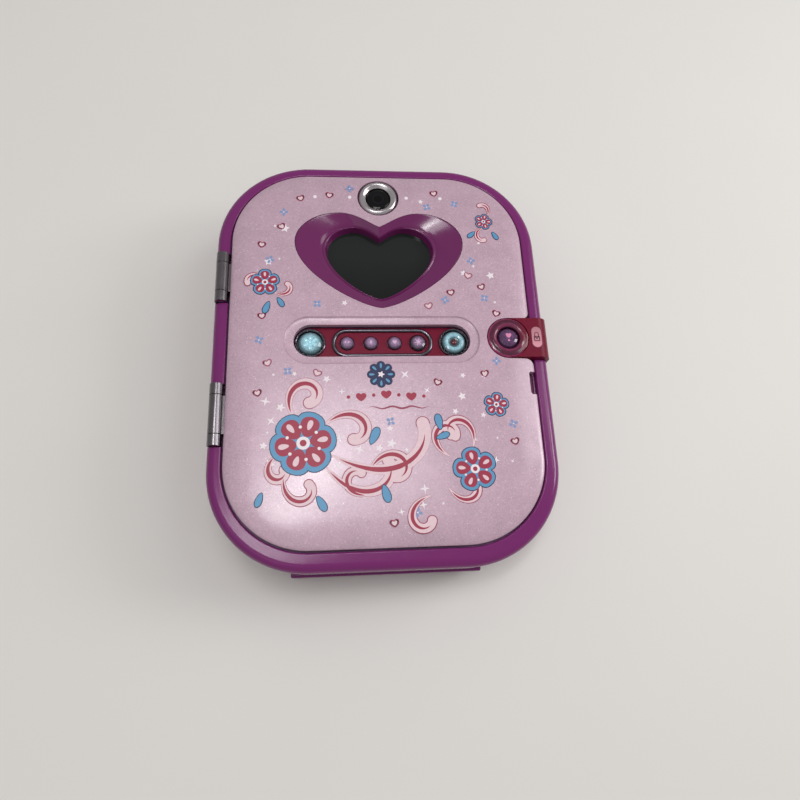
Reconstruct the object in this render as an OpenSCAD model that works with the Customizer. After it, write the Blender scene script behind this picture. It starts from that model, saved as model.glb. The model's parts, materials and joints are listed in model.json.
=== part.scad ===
// Electronic secret diary, closed and lying on its back.
// X runs across the cover, Y from the drawer side to the camera side, Z up out of the cover.
// The origin is on the table, under the middle of the case. All sizes are millimetres.

/* [Case] */
// Width of the case across the rim
case_w = 155; // [154:0.5:157]
// Length of the case, from the drawer side to the camera side
case_l = 198; // [196:0.5:200]
// Corner radius of the case seen from above
corner_r = 44; // [43:0.5:45]
// Height of the rim above the table
rim_h = 42; // [42:0.5:46]
// Height of the seam between the two case halves
seam_h = 20; // [20:0.5:21]
// Wall thickness of the case
wall = 2.2; // [2:0.1:2.4]
// Height of the rubber feet below the case
foot_h = 1.2; // [1:0.1:1.4]
// Radius of the rounded outer edge of the rim
rim_edge_r = 4; // [3:0.5:4.5]

/* [Lid] */
// Width of the lid
lid_w = 140; // [139:0.5:141]
// Length of the lid
lid_l = 182; // [181:0.5:183]
// Corner radius of the lid
lid_r = 37; // [36:0.5:38]
// Distance of the lid's middle from the middle of the case, towards the camera
lid_shift = 1; // [0.5:0.5:1.5]
// Height of the lid's top above the rim
lid_rise = 2.6; // [2.2:0.1:3]
// Gap between the lid and the rim
lid_gap = 0.8; // [0.6:0.1:1]
// Thickness of the lid's top wall
lid_t = 2.2; // [2:0.1:2.4]
// Distance that the lid's rounded edge reaches in over its top
pillow_w = 8; // [6:0.5:10]
// Height of the lid's rounded edge
pillow_h = 2; // [1.6:0.1:2.2]

/* [Heart window] */
// Width of the heart-shaped opening in the lid
heart_w = 81.4; // [78:0.2:84]
// Height on the cover of the heart's two lobes
heart_top_y = 70.2; // [69:0.2:71]
// Height on the cover of the dip between the lobes
heart_dip_y = 62.4; // [61:0.2:63]
// Height on the cover of the heart's widest place
heart_side_y = 54; // [53:0.5:55]
// Height on the cover of the heart's tip
heart_tip_y = 18.8; // [18:0.2:20]
// Width of the screen window as a share of the opening
glass_share_x = 0.655; // [0.64:0.005:0.67]
// Height of the screen window as a share of the opening
glass_share_y = 0.725; // [0.71:0.005:0.74]

/* [Camera] */
// Place of the camera on the centre line
camera_y = 79; // [78.5:0.5:80]
// Outer radius of the camera's bright ring
camera_ring_r = 9.7; // [9.4:0.1:9.8]
// Radius of the dark lens
camera_lens_r = 6; // [5.6:0.1:6.2]

/* [Keys] */
// Length of the key slot in the lid
slot_w = 81.5; // [81:0.5:83]
// Width of the key slot in the lid
slot_l = 15.8; // [15.6:0.1:16.5]
// Place of the key row on the cover
slot_y = 2.9; // [2.5:0.1:3.2]
// Length of the shallow recess around the slot
recess_w = 90; // [88:0.5:91]
// Width of the shallow recess around the slot
recess_l = 23.3; // [22:0.1:24]
// Distance of the two large keys from the middle
large_key_x = 33.4; // [33:0.1:33.5]
// Radius of a large key
large_key_r = 5.7; // [5.4:0.1:5.8]
// Outer radius of the frame round a large key
key_frame_r = 7.1; // [6.9:0.1:7.2]
// Distance between two small keys
small_key_pitch = 11; // [10.6:0.1:11.2]
// Radius of a small key
small_key_r = 3.2; // [3:0.1:3.4]
// Radius of the last small key
last_key_r = 3.9; // [3.6:0.1:4]
// Travel of a key
key_travel = 0.8; // [0.6:0.1:0.8]

/* [Latch] */
// Place of the lock button across the cover
latch_x = 58.7; // [58.5:0.1:59]
// Place of the lock button along the cover
latch_y = 3.5; // [3.2:0.1:3.8]
// Radius of the latch housing's round end
latch_r = 9.8; // [9.6:0.1:9.9]
// Reach of the latch housing beyond the case's side
latch_proud = 0.8; // [0.4:0.1:1]
// Height of the latch housing above the lid
latch_rise = 0.8; // [0.4:0.1:1.2]
// Radius of the lock button
lock_button_r = 5.1; // [4.8:0.1:5.2]
// Travel of the lock button
lock_travel = 1.2; // [1:0.1:1.2]

/* [Hinges] */
// Distance of the hinge axis from the case's left side
hinge_in = 3.5; // [3.4:0.1:3.6]
// Radius of the hinge barrels
barrel_r = 3; // [2.8:0.1:3]
// Radius of the hinge pins
pin_r = 1.2; // [1.1:0.1:1.3]
// Lower end of the upper hinge
upper_hinge_y = 23; // [22:0.5:24]
// Length of the upper hinge
upper_hinge_l = 25; // [24:0.5:26]
// Lower end of the lower hinge
lower_hinge_y = -45; // [-46:0.5:-44]
// Length of the lower hinge
lower_hinge_l = 28; // [27:0.5:29]

/* [Drawer and well] */
// Width of the drawer's front
drawer_w = 86; // [84:0.5:87]
// Length of the drawer's tray
drawer_l = 64.5; // [60:0.5:66]
// Distance that the drawer's front stands out of the case
drawer_proud = 1; // [0.6:0.1:1.2]
// Distance of the notebook well's wall from the lid opening's edge
well_in = 7.3; // [7:0.1:8]
// Upper edge of the notebook well
well_top_y = -15; // [-16:0.5:-14.5]

/* [Battery] */
// Diameter of an AA cell
cell_d = 14.5; // [14.3:0.1:14.5]
// Length of an AA cell with its button
cell_l = 50.5; // [50:0.1:50.5]
// Distance between two cells
cell_pitch = 15; // [14.8:0.1:15.2]

/* [Hidden] */
$fn = 96;

// Heights of the case's levels above the table.
floor_t = 2.6;
floor_top = foot_h + floor_t;
case_edge_r = 5;
seam_gap = 0.3;
lip_t = 1.1;
lip_h = 2;
rim_t = 2.4;
deck_t = 2;
deck_top = rim_h - 4;
deck_under = deck_top - deck_t;
lid_top = rim_h + lid_rise;
lid_under = rim_h - 2.2;
lid_plate_under = lid_top - lid_t;
liner_t = 1.6;
liner_top = lid_under + liner_t;
lid_skirt_t = 2.2;
eps = 0.05;
joint_gap = 0.3;

// Opening in the rim that the lid lies in.
opening_w = lid_w + 2 * lid_gap;
opening_l = lid_l + 2 * lid_gap;
opening_r = lid_r + lid_gap;
inner_wall_t = 1.6;
half_w = case_w / 2;
half_l = case_l / 2;

// Glass lies under the heart bezel, level with the deck.
glass_t = 1.6;
glass_top = deck_top;
heart_gap = 0.5;
bezel_lip_z = deck_top + 3.6;
bezel_top = lid_top - 1;
heart_mid_y = (heart_top_y + heart_tip_y) / 2 + 2.3;

// Keys hang in the deck and stand on a silicone mat over their own board.
key_flange_z = deck_under - 1.1;
key_flange_t = 0.8;
key_cap_z = deck_top + 1.3;
large_key_top = deck_top + 4.1;
small_key_top = deck_top + 4;
plate_t = 2.2;
mat_z = deck_under - 3.4;
mat_t = 0.8;
key_board_t = 1.4;
small_key_count = 4;
small_key_x = [for (i = [0:small_key_count - 1]) (i - (small_key_count - 1) / 2) * small_key_pitch];
small_key_radii = [small_key_r, small_key_r, small_key_r, last_key_r];
stem_clear = 0.3;
large_stem_r = 3.4;
small_stem_r = 2.1;

// Latch.
latch_top = lid_top + latch_rise;
latch_end_x = half_w + latch_proud;
latch_gap = 0.6;
latch_foot_z = rim_h - 12;
ring_floor_z = deck_top + 3;
latch_ring_r = latch_r - 0.85;
lock_stem_r = 2.6;
bolt_y = latch_y + 16.5;
bolt_z = deck_under - 5.5;
bolt_r = 2;
bolt_tip_r = 1.6;
catch_x = 65;
catch_t = 2;
solenoid_x = 46;
solenoid_l = 13;
solenoid_w = 11;

// Hinges.
hinge_x = -half_w + hinge_in;
hinge_z = rim_h;
hinge_seat_z = deck_top;
leaf_t = 0.7;
knuckle_l = 5;
bore_clear = 0.05;
knuckle_gap = 0.3;
upper_hinge = [upper_hinge_y, upper_hinge_l];
lower_hinge = [lower_hinge_y, lower_hinge_l];

// Drawer.
drawer_gap = 0.4;
drawer_z = floor_top + 0.4;
drawer_h = 13.4;
drawer_front_t = 3.4;
drawer_front_y = -half_l - drawer_proud;
tray_y = drawer_front_y + drawer_front_t;
tray_w = 80;
tray_z = floor_top + 0.8;
tray_h = 12.2;
tray_t = 1.6;

// Notebook well over the drawer.
well_floor_z = seam_h - 1;
well_t = 1.6;
well_w = opening_w - 2 * well_in;
well_l = opening_l - 2 * well_in;
well_r = opening_r - well_in;
notebook_gap = 1.2;
notebook_z = well_floor_z + well_t + 0.1;
cover_t = 1;
pages_t = 10;

// Battery compartment and its door.
cell_count = 4;
cell_x = [for (i = [0:cell_count - 1]) (i - (cell_count - 1) / 2) * cell_pitch];
cell_z = floor_top + 0.6 + cell_d / 2;
bay_w = 62;
bay_y0 = 18;
bay_y1 = bay_y0 + cell_l + 5;
contact_room = 0.7;
bay_wall = 1.5;
bay_roof_z = cell_z + cell_d / 2 + 0.6;
door_t = 1.3;
door_gap = 0.3;
door_y1 = bay_y1 + 9;
door_screw_y = bay_y1 + 5.5;

// Boards.
board_z = 26;
board_t = 1.6;
board_x0 = -54;
board_x1 = 44;
board_y0 = 10;
board_y1 = 92;
lcd_y = heart_mid_y;
lcd_w = 58;
lcd_l = 42;
lcd_z = 31.8;
lcd_t = 3.6;
standoffs = [[board_x0 + 4, 14], [board_x0 + 4, 80], [board_x1 - 4, 14], [board_x1 - 4, 80]];

// Speaker, ports and screws.
speaker_x = 52;
speaker_y = 38;
speaker_r = 18;
jack_x = -20;
jack_z = board_z + board_t + 3;
jack_r = 1.8;
jack_l = 13;
usb_x = 14;
usb_z = board_z + board_t + 2.2;
mic_x = 31;
boss_r = 3.8;
boss_in = 9;
boss_corner = (corner_r - boss_in) * cos(45);
boss_x = half_w - corner_r + boss_corner;
boss_y = half_l - corner_r + boss_corner;
bosses = [
    [boss_x, boss_y, 45], [-boss_x, boss_y, 135], [-boss_x, -boss_y, 225], [boss_x, -boss_y, 315],
    [half_w - boss_in, -8, 0], [-half_w + boss_in, 3, 180]
];
lid_screw_spots = [[-56, 76], [56, 76], [-58, -8], [61, -40], [-48, -72], [48, -72]];
feet = [[55, 70], [-55, 70], [-55, -70], [55, -70]];
foot_r = 6;
foot_seat = 0.8;

// Internal leads, as a few points each.
speaker_route = [
    [52, 38, 10.6], [52, 38, 13], [50, 38, 16], [46, 38, 18.5], [42.5, 38, 20.5], [41, 38, 23], [41, 38, 26]
];
battery_route = [
    [-32.6, 60, 12], [-35.5, 60, 12], [-38.5, 60, 13.5], [-40.5, 60, 17], [-41, 60, 21], [-41, 60, 26]
];
lead_r = 0.8;
lead_sides = 8;

// Points on an arc, for profiles.
function arc(cx, cy, r, a0, a1, n = 6) =
    [for (i = [0:n]) [cx + r * cos(a0 + (a1 - a0) * i / n), cy + r * sin(a0 + (a1 - a0) * i / n)]];

// A quarter of an ellipse that leans in by w while it rises by h to the given top.
function shoulder(w, h, top, n = 10) =
    [for (i = [0:n]) [w * (cos(90 * i / n) - 1), top - h * (1 - sin(90 * i / n))]];

// A cubic curve between p0 and p3, steered by p1 and p2.
function curve(p0, p1, p2, p3, n = 7) =
    [for (i = [0:n - 1]) let (t = i / n, s = 1 - t)
        p0 * s * s * s + p1 * 3 * s * s * t + p2 * 3 * s * t * t + p3 * t * t * t];

// Right half of the heart, from the dip round to the tip, as three curves.
function half_heart() = concat(
    curve([0, heart_dip_y], [4, heart_dip_y + 1.6], [11, heart_top_y], [19, heart_top_y]),
    curve([19, heart_top_y], [31, heart_top_y], [heart_w / 2, heart_side_y + 9], [heart_w / 2, heart_side_y]),
    curve([heart_w / 2, heart_side_y], [heart_w / 2, heart_side_y - 17],
        [10, heart_tip_y + 0.7], [0, heart_tip_y], 11)
);

function heart_points() = let (right = half_heart(), n = len(right))
    concat(right, [[0, heart_tip_y]], [for (i = [n - 1:-1:1]) [-right[i][0], right[i][1]]]);

// Heart-shaped outline, shrunk or grown about its middle.
module heart_outline(share_x = 1, share_y = 1) {
    translate([0, heart_mid_y]) centred_heart(share_x, share_y);
}

module centred_heart(share_x, share_y) {
    polygon([for (p = heart_points()) [p[0] * share_x, (p[1] - heart_mid_y) * share_y]]);
}

// Funnel between two heart outlines, one at z0 and one at z1.
module heart_taper(z0, z1, low, high) {
    translate([0, heart_mid_y, z0])
        linear_extrude(z1 - z0, scale = [high[0] / low[0], high[1] / low[1]], slices = 1, $fn = 0)
            centred_heart(low[0], low[1]);
}

module rounded_outline(w, l, r) {
    square([w - 2 * r, l], center = true);
    square([w, l - 2 * r], center = true);
    for (x = [-1, 1], y = [-1, 1])
        translate([x * (w / 2 - r), y * (l / 2 - r)]) circle(r);
}

module pill_outline(w, l) {
    square([w - l, l], center = true);
    for (x = [-1, 1])
        translate([x * (w - l) / 2, 0]) circle(l / 2);
}

module plate(z, t) {
    translate([0, 0, z]) linear_extrude(t) children();
}

// Carries a profile round a rounded rectangle: its x is the distance outwards, its y the height.
module around(w, l, r) {
    for (i = [0:3]) {
        across = (i % 2 == 0 ? w : l) / 2;
        along = (i % 2 == 0 ? l : w) / 2 - r;
        rotate(90 * i) {
            translate([across, along, 0]) rotate([90, 0, 0]) linear_extrude(2 * along) children();
            translate([across - r, along, 0]) rotate_extrude(angle = 90) translate([r, 0]) children();
        }
    }
}

module box(x0, x1, y0, y1, z0, z1) {
    translate([x0, y0, z0]) cube([x1 - x0, y1 - y0, z1 - z0]);
}

module post(x, y, r, z0, z1) {
    translate([x, y, z0]) cylinder(r = r, h = z1 - z0);
}

module bore_y(x, z, r, y0, y1) {
    translate([x, y1, z]) rotate([90, 0, 0]) cylinder(r = r, h = y1 - y0);
}

module bore_x(y, z, r, x0, x1) {
    translate([x0, y, z]) rotate([0, 90, 0]) cylinder(r = r, h = x1 - x0);
}

// Lower half of the case: floor, wall, battery bay, posts and drawer rails.
module bottom_case() {
    color("mediumorchid") difference() {
        union() {
            around(case_w, case_l, corner_r) polygon(concat(
                [[-8, foot_h]],
                arc(-case_edge_r, foot_h + case_edge_r, case_edge_r, -90, 0),
                [
                    [0, seam_h], [-wall - 0.1, seam_h], [-wall - 0.1, seam_h + lip_h],
                    [-wall - 0.1 - lip_t, seam_h + lip_h], [-wall - 0.1 - lip_t, floor_top + 3],
                    [-wall - 3.1 - lip_t, floor_top], [-8, floor_top]
                ]
            ));
            plate(foot_h, floor_t) rounded_outline(case_w - 14, case_l - 14, corner_r - 7);
            battery_bay();
            for (s = standoffs)
                post(s[0], s[1], 2.5, floor_top - eps, board_z);
            for (b = bosses)
                post(b[0], b[1], boss_r, floor_top - eps, seam_h);
            for (side = [-1, 1])
                translate([side * (tray_w / 2 + 2.1), drawer_front_y + 38, floor_top + 3 - eps])
                    cube([1.8, 56, 6 + eps], center = true);
            post(speaker_x, speaker_y, speaker_r + 2, floor_top - eps, floor_top + 4);
            post(0, door_screw_y, 3, floor_top - eps, floor_top + 9);
        }
        post(speaker_x, speaker_y, speaker_r + 0.4, floor_top, floor_top + 5);
        for (i = [-3:3])
            translate([speaker_x + i * 4, speaker_y, foot_h])
                cube([1.8, 2 * sqrt(200 - i * i * 16), 3 * floor_t], center = true);
        box(-drawer_w / 2 - drawer_gap, drawer_w / 2 + drawer_gap, -half_l - 3, -half_l + 7,
            floor_top, drawer_z + drawer_h + drawer_gap);
        box(-bay_w / 2 + 1.5, bay_w / 2 - 1.5, bay_y0 + 1.5, bay_y1 - 0.5, foot_h - 1, floor_top + 1);
        box(-bay_w / 2, bay_w / 2, bay_y0, door_y1, foot_h - 1, foot_h + door_t + eps);
        post(0, door_screw_y, pin_r + bore_clear, foot_h, floor_top + 9 + eps);
        for (b = bosses) {
            post(b[0], b[1], 1.5, foot_h - 1, seam_h + 1);
            post(b[0], b[1], 3, foot_h - 1, floor_top + 4);
        }
        for (f = feet)
            post(f[0], f[1], foot_r + 0.1, foot_h - 1, foot_h + foot_seat);
    }
}

// Walls and roof of the bay that holds the cells.
module battery_bay() {
    difference() {
        box(-bay_w / 2 - bay_wall, bay_w / 2 + bay_wall, bay_y0 - bay_wall, bay_y1 + bay_wall,
            floor_top - eps, bay_roof_z + bay_wall);
        box(-bay_w / 2, bay_w / 2, bay_y0, bay_y1, floor_top - 1, bay_roof_z);
    }
}

// Upper half of the case with the rim that frames the lid.
module top_frame() {
    color("mediumorchid") difference() {
        union() {
            around(case_w, case_l, corner_r) polygon(concat(
                [[0, seam_h + seam_gap]],
                arc(-rim_edge_r, rim_h - rim_edge_r, rim_edge_r, 0, 90, 8),
                [
                    [-5.5, rim_h], [-5.5, rim_h - rim_t], [-wall - 1.5, rim_h - rim_t],
                    [-wall, rim_h - rim_t - 1.5], [-wall, seam_h + seam_gap]
                ]
            ));
            plate(rim_h - rim_t, rim_t) difference() {
                rounded_outline(case_w - 10, case_l - 10, corner_r - 5);
                translate([0, lid_shift]) rounded_outline(opening_w, opening_l, opening_r);
            }
            translate([0, lid_shift, deck_top])
                around(opening_w, opening_l, opening_r) square([inner_wall_t, rim_h - deck_top]);
            for (b = bosses)
                translate([b[0], b[1], 0]) rotate(b[2]) {
                    post(0, 0, boss_r, seam_h + 0.05, deck_under - 0.2);
                    box(0, boss_in - wall + 0.2, -1, 1, seam_h + lip_h + 0.5, deck_under - 0.2);
                }
            for (h = [upper_hinge, lower_hinge])
                box(-half_w + 1, -half_w + hinge_in + 1.3, h[0] - 1, h[0] + h[1] + 1,
                    hinge_seat_z - 4, hinge_seat_z);
        }
        for (h = [upper_hinge, lower_hinge])
            box(-half_w - 1, -opening_w / 2 + 0.1, h[0] - 0.3, h[0] + h[1] + 0.3, hinge_seat_z, rim_h + 1);
        box(opening_w / 2 - 1, half_w + 2, latch_y - latch_r - joint_gap, latch_y + latch_r + joint_gap,
            latch_foot_z - joint_gap, rim_h + 1);
        for (b = bosses)
            post(b[0], b[1], 1.3, seam_h - 1, deck_under - 2);
        bore_y(jack_x, jack_z, 3, half_l - 5, half_l + 1);
        box(usb_x - 4.1, usb_x + 4.1, half_l - 5, half_l + 1, usb_z - 1.7, usb_z + 1.7);
        bore_y(mic_x, jack_z, 0.9, half_l - 5, half_l + 1);
    }
}

// Panel under the lid that carries the bezel, keys and latch.
module deck_panel() {
    color("orchid") difference() {
        union() {
            plate(deck_under, deck_t) translate([0, lid_shift])
                rounded_outline(opening_w + 3, opening_l + 3, opening_r + 1.5);
            for (x = [-40, 40], y = [-3.6, 9.6])
                post(x, slot_y + y - 3, 1.2, mat_z, deck_under + eps);
            for (p = [[52.5, -1], [65.5, 8]])
                post(p[0], p[1], 1.2, deck_under - 3.6, deck_under + eps);
        }
        plate(deck_under - 1, deck_t + 2) heart_outline(glass_share_x * 1.1, glass_share_y * 1.1);
        post(0, camera_y, 4.7, deck_under - 1, deck_top + 1);
        for (x = [-large_key_x, large_key_x])
            post(x, slot_y, large_stem_r + stem_clear, deck_under - 1, deck_top + 1);
        for (x = small_key_x)
            post(x, slot_y, small_stem_r + stem_clear, deck_under - 1, deck_top + 1);
        post(latch_x, latch_y, lock_stem_r + stem_clear, deck_under - 1, deck_top + 1);
        box(catch_x - 1, catch_x + catch_t + 1.6, bolt_y - 4.2, bolt_y + 4.2, deck_under - 1, deck_top + 1);
        plate(deck_under - 1, deck_t + 2) well_outline(0);
        for (h = [upper_hinge, lower_hinge])
            box(-half_w, -opening_w / 2 - 1, h[0] - 1.5, h[0] + h[1] + 1.5, deck_under - 1, deck_top + 1);
    }
}

// Outline of the notebook well: it follows the lid's round corners on the drawer side.
module well_outline(grow) {
    intersection() {
        translate([0, lid_shift]) rounded_outline(well_w + 2 * grow, well_l + 2 * grow, well_r + grow);
        translate([0, well_top_y + grow - 60]) rounded_outline(well_w + 2 * grow + 4, 120, 6 + grow);
    }
}

// Open tray that hangs under the deck and holds the notebook.
module storage_well() {
    color("plum") difference() {
        plate(well_floor_z, deck_under - well_floor_z) well_outline(well_t);
        plate(well_floor_z + well_t, deck_under) well_outline(0);
    }
}

// Glossy funnel from the lid's heart opening down to a lip, with a straight wall from there to the screen.
module heart_bezel() {
    brim = 0.7;
    edge = [1 - 2 * heart_gap / heart_w, 1 - heart_gap / 26];
    inner_edge = [edge[0] - 2 * brim / heart_w, edge[1] - brim / 26];
    lip = [glass_share_x * 1.02, glass_share_y * 1.02];
    color("darkorchid") difference() {
        plate(deck_top, bezel_top - deck_top) heart_outline(edge[0], edge[1]);
        heart_taper(bezel_lip_z, bezel_top + eps, lip, inner_edge);
        plate(deck_top - 1, 4 * lid_rise) heart_outline(glass_share_x, glass_share_y);
    }
}

module screen_lens() {
    color("darkslategray") plate(glass_top - glass_t, glass_t)
        heart_outline(glass_share_x * 1.085, glass_share_y * 1.085);
}

// Display under the heart window, with its raised glass face.
module lcd_panel() {
    color("silver") {
        box(-lcd_w / 2, lcd_w / 2, lcd_y - lcd_l / 2, lcd_y + lcd_l / 2, lcd_z, lcd_z + lcd_t - 0.8);
        box(-lcd_w / 2 + 2, lcd_w / 2 - 2, lcd_y - lcd_l / 2 + 2, lcd_y + lcd_l / 2 - 2,
            lcd_z + lcd_t - 0.8 - eps, lcd_z + lcd_t);
    }
}

module lcd_holder() {
    color("white") difference() {
        box(-lcd_w / 2, lcd_w / 2, lcd_y - lcd_l / 2, lcd_y + lcd_l / 2, board_z + board_t, lcd_z);
        box(-lcd_w / 2 + 3, lcd_w / 2 - 3, lcd_y - lcd_l / 2 + 3, lcd_y + lcd_l / 2 - 3, board_z, lcd_z + 1);
    }
}

module main_board() {
    board_w = board_x1 - board_x0;
    board_l = board_y1 - board_y0;
    color("seagreen") plate(board_z, board_t)
        translate([board_x0 + board_w / 2, board_y0 + board_l / 2]) rounded_outline(board_w, board_l, 8);
}

// Processor, memory and a connector on the main board.
module board_chips() {
    color("dimgray") {
        for (c = [[-42, 40, 10, 10, 1.4], [-42, 56, 7, 7, 1.2], [-44, 26, 8, 5, 1.8], [36, 56, 6, 9, 1.6]])
            box(c[0] - c[2] / 2, c[0] + c[2] / 2, c[1] - c[3] / 2, c[1] + c[3] / 2,
                board_z + board_t, board_z + board_t + c[4]);
    }
}

module key_board() {
    color("seagreen") box(-43, 43, slot_y - 8, slot_y + 8, mat_z - key_board_t, mat_z);
}

// Silicone mat with a dome under each key.
module key_mat() {
    color("lightgray") {
        box(-37.5, 37.5, slot_y - 6, slot_y + 6, mat_z, mat_z + mat_t);
        for (x = concat([-large_key_x, large_key_x], small_key_x))
            translate([x, slot_y, mat_z + mat_t - eps])
                cylinder(r1 = 2.6, r2 = 1.8, h = key_flange_z - key_travel - mat_z - mat_t - 0.1 + eps);
    }
}

// Red plate in the lid's key slot.
module key_plate() {
    color("crimson") difference() {
        plate(deck_top, plate_t) translate([0, slot_y]) pill_outline(slot_w - 1.2, slot_l - 1.2);
        for (x = [-large_key_x, large_key_x])
            post(x, slot_y, key_frame_r + 0.05, deck_top - 1, deck_top + 4);
        for (i = [0:small_key_count - 1])
            post(small_key_x[i], slot_y, small_key_radii[i] + stem_clear, deck_top - 1, deck_top + 4);
    }
}

// Bright pill-shaped ring round the four small keys.
module key_trim() {
    color("silver") translate([0, slot_y]) difference() {
        plate(deck_top + plate_t, 1.2) pill_outline(46.6, 13.2);
        plate(deck_top + plate_t - 1, 4) pill_outline(44.2, 10.8);
    }
}

module key_frames() {
    color("gray")
        for (x = [-large_key_x, large_key_x])
            translate([x, slot_y, deck_top]) rotate_extrude() polygon([
                [large_key_r + 0.25, 0.4], [large_stem_r + 1.6, 0.4], [large_stem_r + 1.6, 0],
                [key_frame_r, 0], [key_frame_r, 2.8], [key_frame_r - 0.6, 3.5], [large_key_r + 0.25, 3.1]
            ]);
}

module camera_ring() {
    r = camera_ring_r;
    color("silver") translate([0, camera_y, deck_top]) rotate_extrude() polygon([
        [4.7, 0], [r, 0], [r, 5.8], [r - 0.6, 6.4], [r - 1, 6.4], [r - 1.3, 5.6], [camera_lens_r + 1, 4.6],
        [camera_lens_r + 0.05, 4.6], [camera_lens_r + 0.05, 2.4], [4.7, 2.4]
    ]);
}

module camera_lens() {
    dome = 14;
    color("black") translate([0, camera_y, deck_top + 2.4]) rotate_extrude() polygon(concat(
        [[0, 0], [camera_lens_r, 0]],
        arc(0, 3.2 - dome, dome, acos(camera_lens_r / dome), 90, 5)
    ));
}

module camera_module() {
    color("dimgray") {
        box(-4.5, 4.5, camera_y - 4.5, camera_y + 4.5, board_z + board_t, deck_under - 1);
        post(0, camera_y, 4.3, deck_under - 1 - eps, deck_top + 2.2);
    }
}

// Speaker: basket, magnet and cone, facing down through the case's slots.
module speaker() {
    color("dimgray") translate([speaker_x, speaker_y, floor_top]) rotate_extrude() polygon([
        [0, 0.8], [speaker_r - 4, 0.3], [speaker_r - 3, 0], [speaker_r, 0], [speaker_r, 1.6],
        [9, 4.2], [9, 6.6], [0, 6.6]
    ]);
}

module microphone() {
    color("silver") bore_y(mic_x, jack_z, 2.8, half_l - wall - 5, half_l - wall);
}

// Headphone socket, its barrel flush with the case's camera side.
module headphone_jack() {
    nose_y = half_l - 0.2;
    color("dimgray") difference() {
        union() {
            box(jack_x - 3.5, jack_x + 3.5, nose_y - jack_l - 1.5, half_l - wall,
                board_z + board_t, jack_z + 3);
            bore_y(jack_x, jack_z, 2.9, half_l - wall - 1, nose_y);
        }
        bore_y(jack_x, jack_z, jack_r, nose_y - jack_l, nose_y + 1);
    }
}

module usb_port() {
    color("silver") difference() {
        box(usb_x - 4, usb_x + 4, half_l - wall - 9, half_l - 0.4, usb_z - 1.5, usb_z + 1.5);
        box(usb_x - 3.5, usb_x + 3.5, half_l - wall - 8, half_l + 1, usb_z - 1, usb_z + 1);
    }
    color("silver")
        box(usb_x - 4, usb_x + 4, half_l - wall - 9, half_l - wall - 5, board_z + board_t, usb_z - 1.5 + eps);
}

// Cover of the battery bay, held by one screw.
module battery_door() {
    color("mediumorchid") difference() {
        box(-bay_w / 2 + door_gap, bay_w / 2 - door_gap, bay_y0 + door_gap, door_y1 - door_gap,
            foot_h, foot_h + door_t);
        post(0, door_screw_y, 2.9, foot_h - 1, foot_h + 0.9);
        post(0, door_screw_y, 1.5, foot_h - 1, foot_h + door_t + 1);
        for (i = [0:4])
            box(-12, 12, bay_y0 + 6 + 2.4 * i, bay_y0 + 7 + 2.4 * i, foot_h - 1, foot_h + 0.4);
    }
}

module door_screw() {
    color("silver") difference() {
        union() {
            post(0, door_screw_y, 2.6, foot_h + 0.1, foot_h + 0.9);
            post(0, door_screw_y, pin_r, foot_h + 0.8, floor_top + 8);
        }
        cross_slot(0, door_screw_y, foot_h, 0.6);
    }
}

module cross_slot(x, y, z, depth) {
    translate([x, y, z]) {
        cube([3.2, 0.7, 2 * depth], center = true);
        cube([0.7, 3.2, 2 * depth], center = true);
    }
}

// One AA cell; neighbours lie head to tail.
module aa_cell(i) {
    even = i % 2 == 0;
    mid_y = even ? bay_y1 - contact_room - cell_l / 2 : bay_y0 + contact_room + cell_l / 2;
    color("orange") translate([cell_x[i], mid_y, cell_z]) rotate([even ? -90 : 90, 0, 0])
        rotate_extrude() polygon([
            [0, -cell_l / 2], [cell_d / 2 - 0.6, -cell_l / 2], [cell_d / 2, -cell_l / 2 + 0.6],
            [cell_d / 2, cell_l / 2 - 2], [cell_d / 2 - 0.6, cell_l / 2 - 1.4], [2.6, cell_l / 2 - 1.4],
            [2.6, cell_l / 2], [0, cell_l / 2]
        ]);
}

module aa_cell_1() {
    aa_cell(0);
}

module aa_cell_2() {
    aa_cell(1);
}

module aa_cell_3() {
    aa_cell(2);
}

module aa_cell_4() {
    aa_cell(3);
}

// Contact plates at both ends of the bay, with a cone for each spring.
module battery_contacts() {
    color("silver") {
        for (i = [0:cell_count - 1]) {
            near = i % 2 == 0;
            x = cell_x[i];
            box(x - 5, x + 5, bay_y0 + 0.05, bay_y0 + 0.6, cell_z - 5, cell_z + 5);
            box(x - 5, x + 5, bay_y1 - 0.6, bay_y1 - 0.05, cell_z - 5, cell_z + 5);
            translate([x, near ? bay_y0 + 0.5 : bay_y1 - 0.5, cell_z]) rotate([near ? -90 : 90, 0, 0])
                cylinder(r1 = 4, r2 = 2.4, h = 3);
        }
    }
}

module rubber_feet() {
    color("dimgray")
        for (f = feet)
            post(f[0], f[1], foot_r, 0, foot_h + foot_seat);
}

module case_screws() {
    color("silver")
        for (b = bosses)
            difference() {
                union() {
                    post(b[0], b[1], 2.7, floor_top + 2, floor_top + 4);
                    post(b[0], b[1], 1.25, floor_top + 3, deck_under - 5);
                }
                cross_slot(b[0], b[1], floor_top + 2, 0.9);
            }
}

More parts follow.
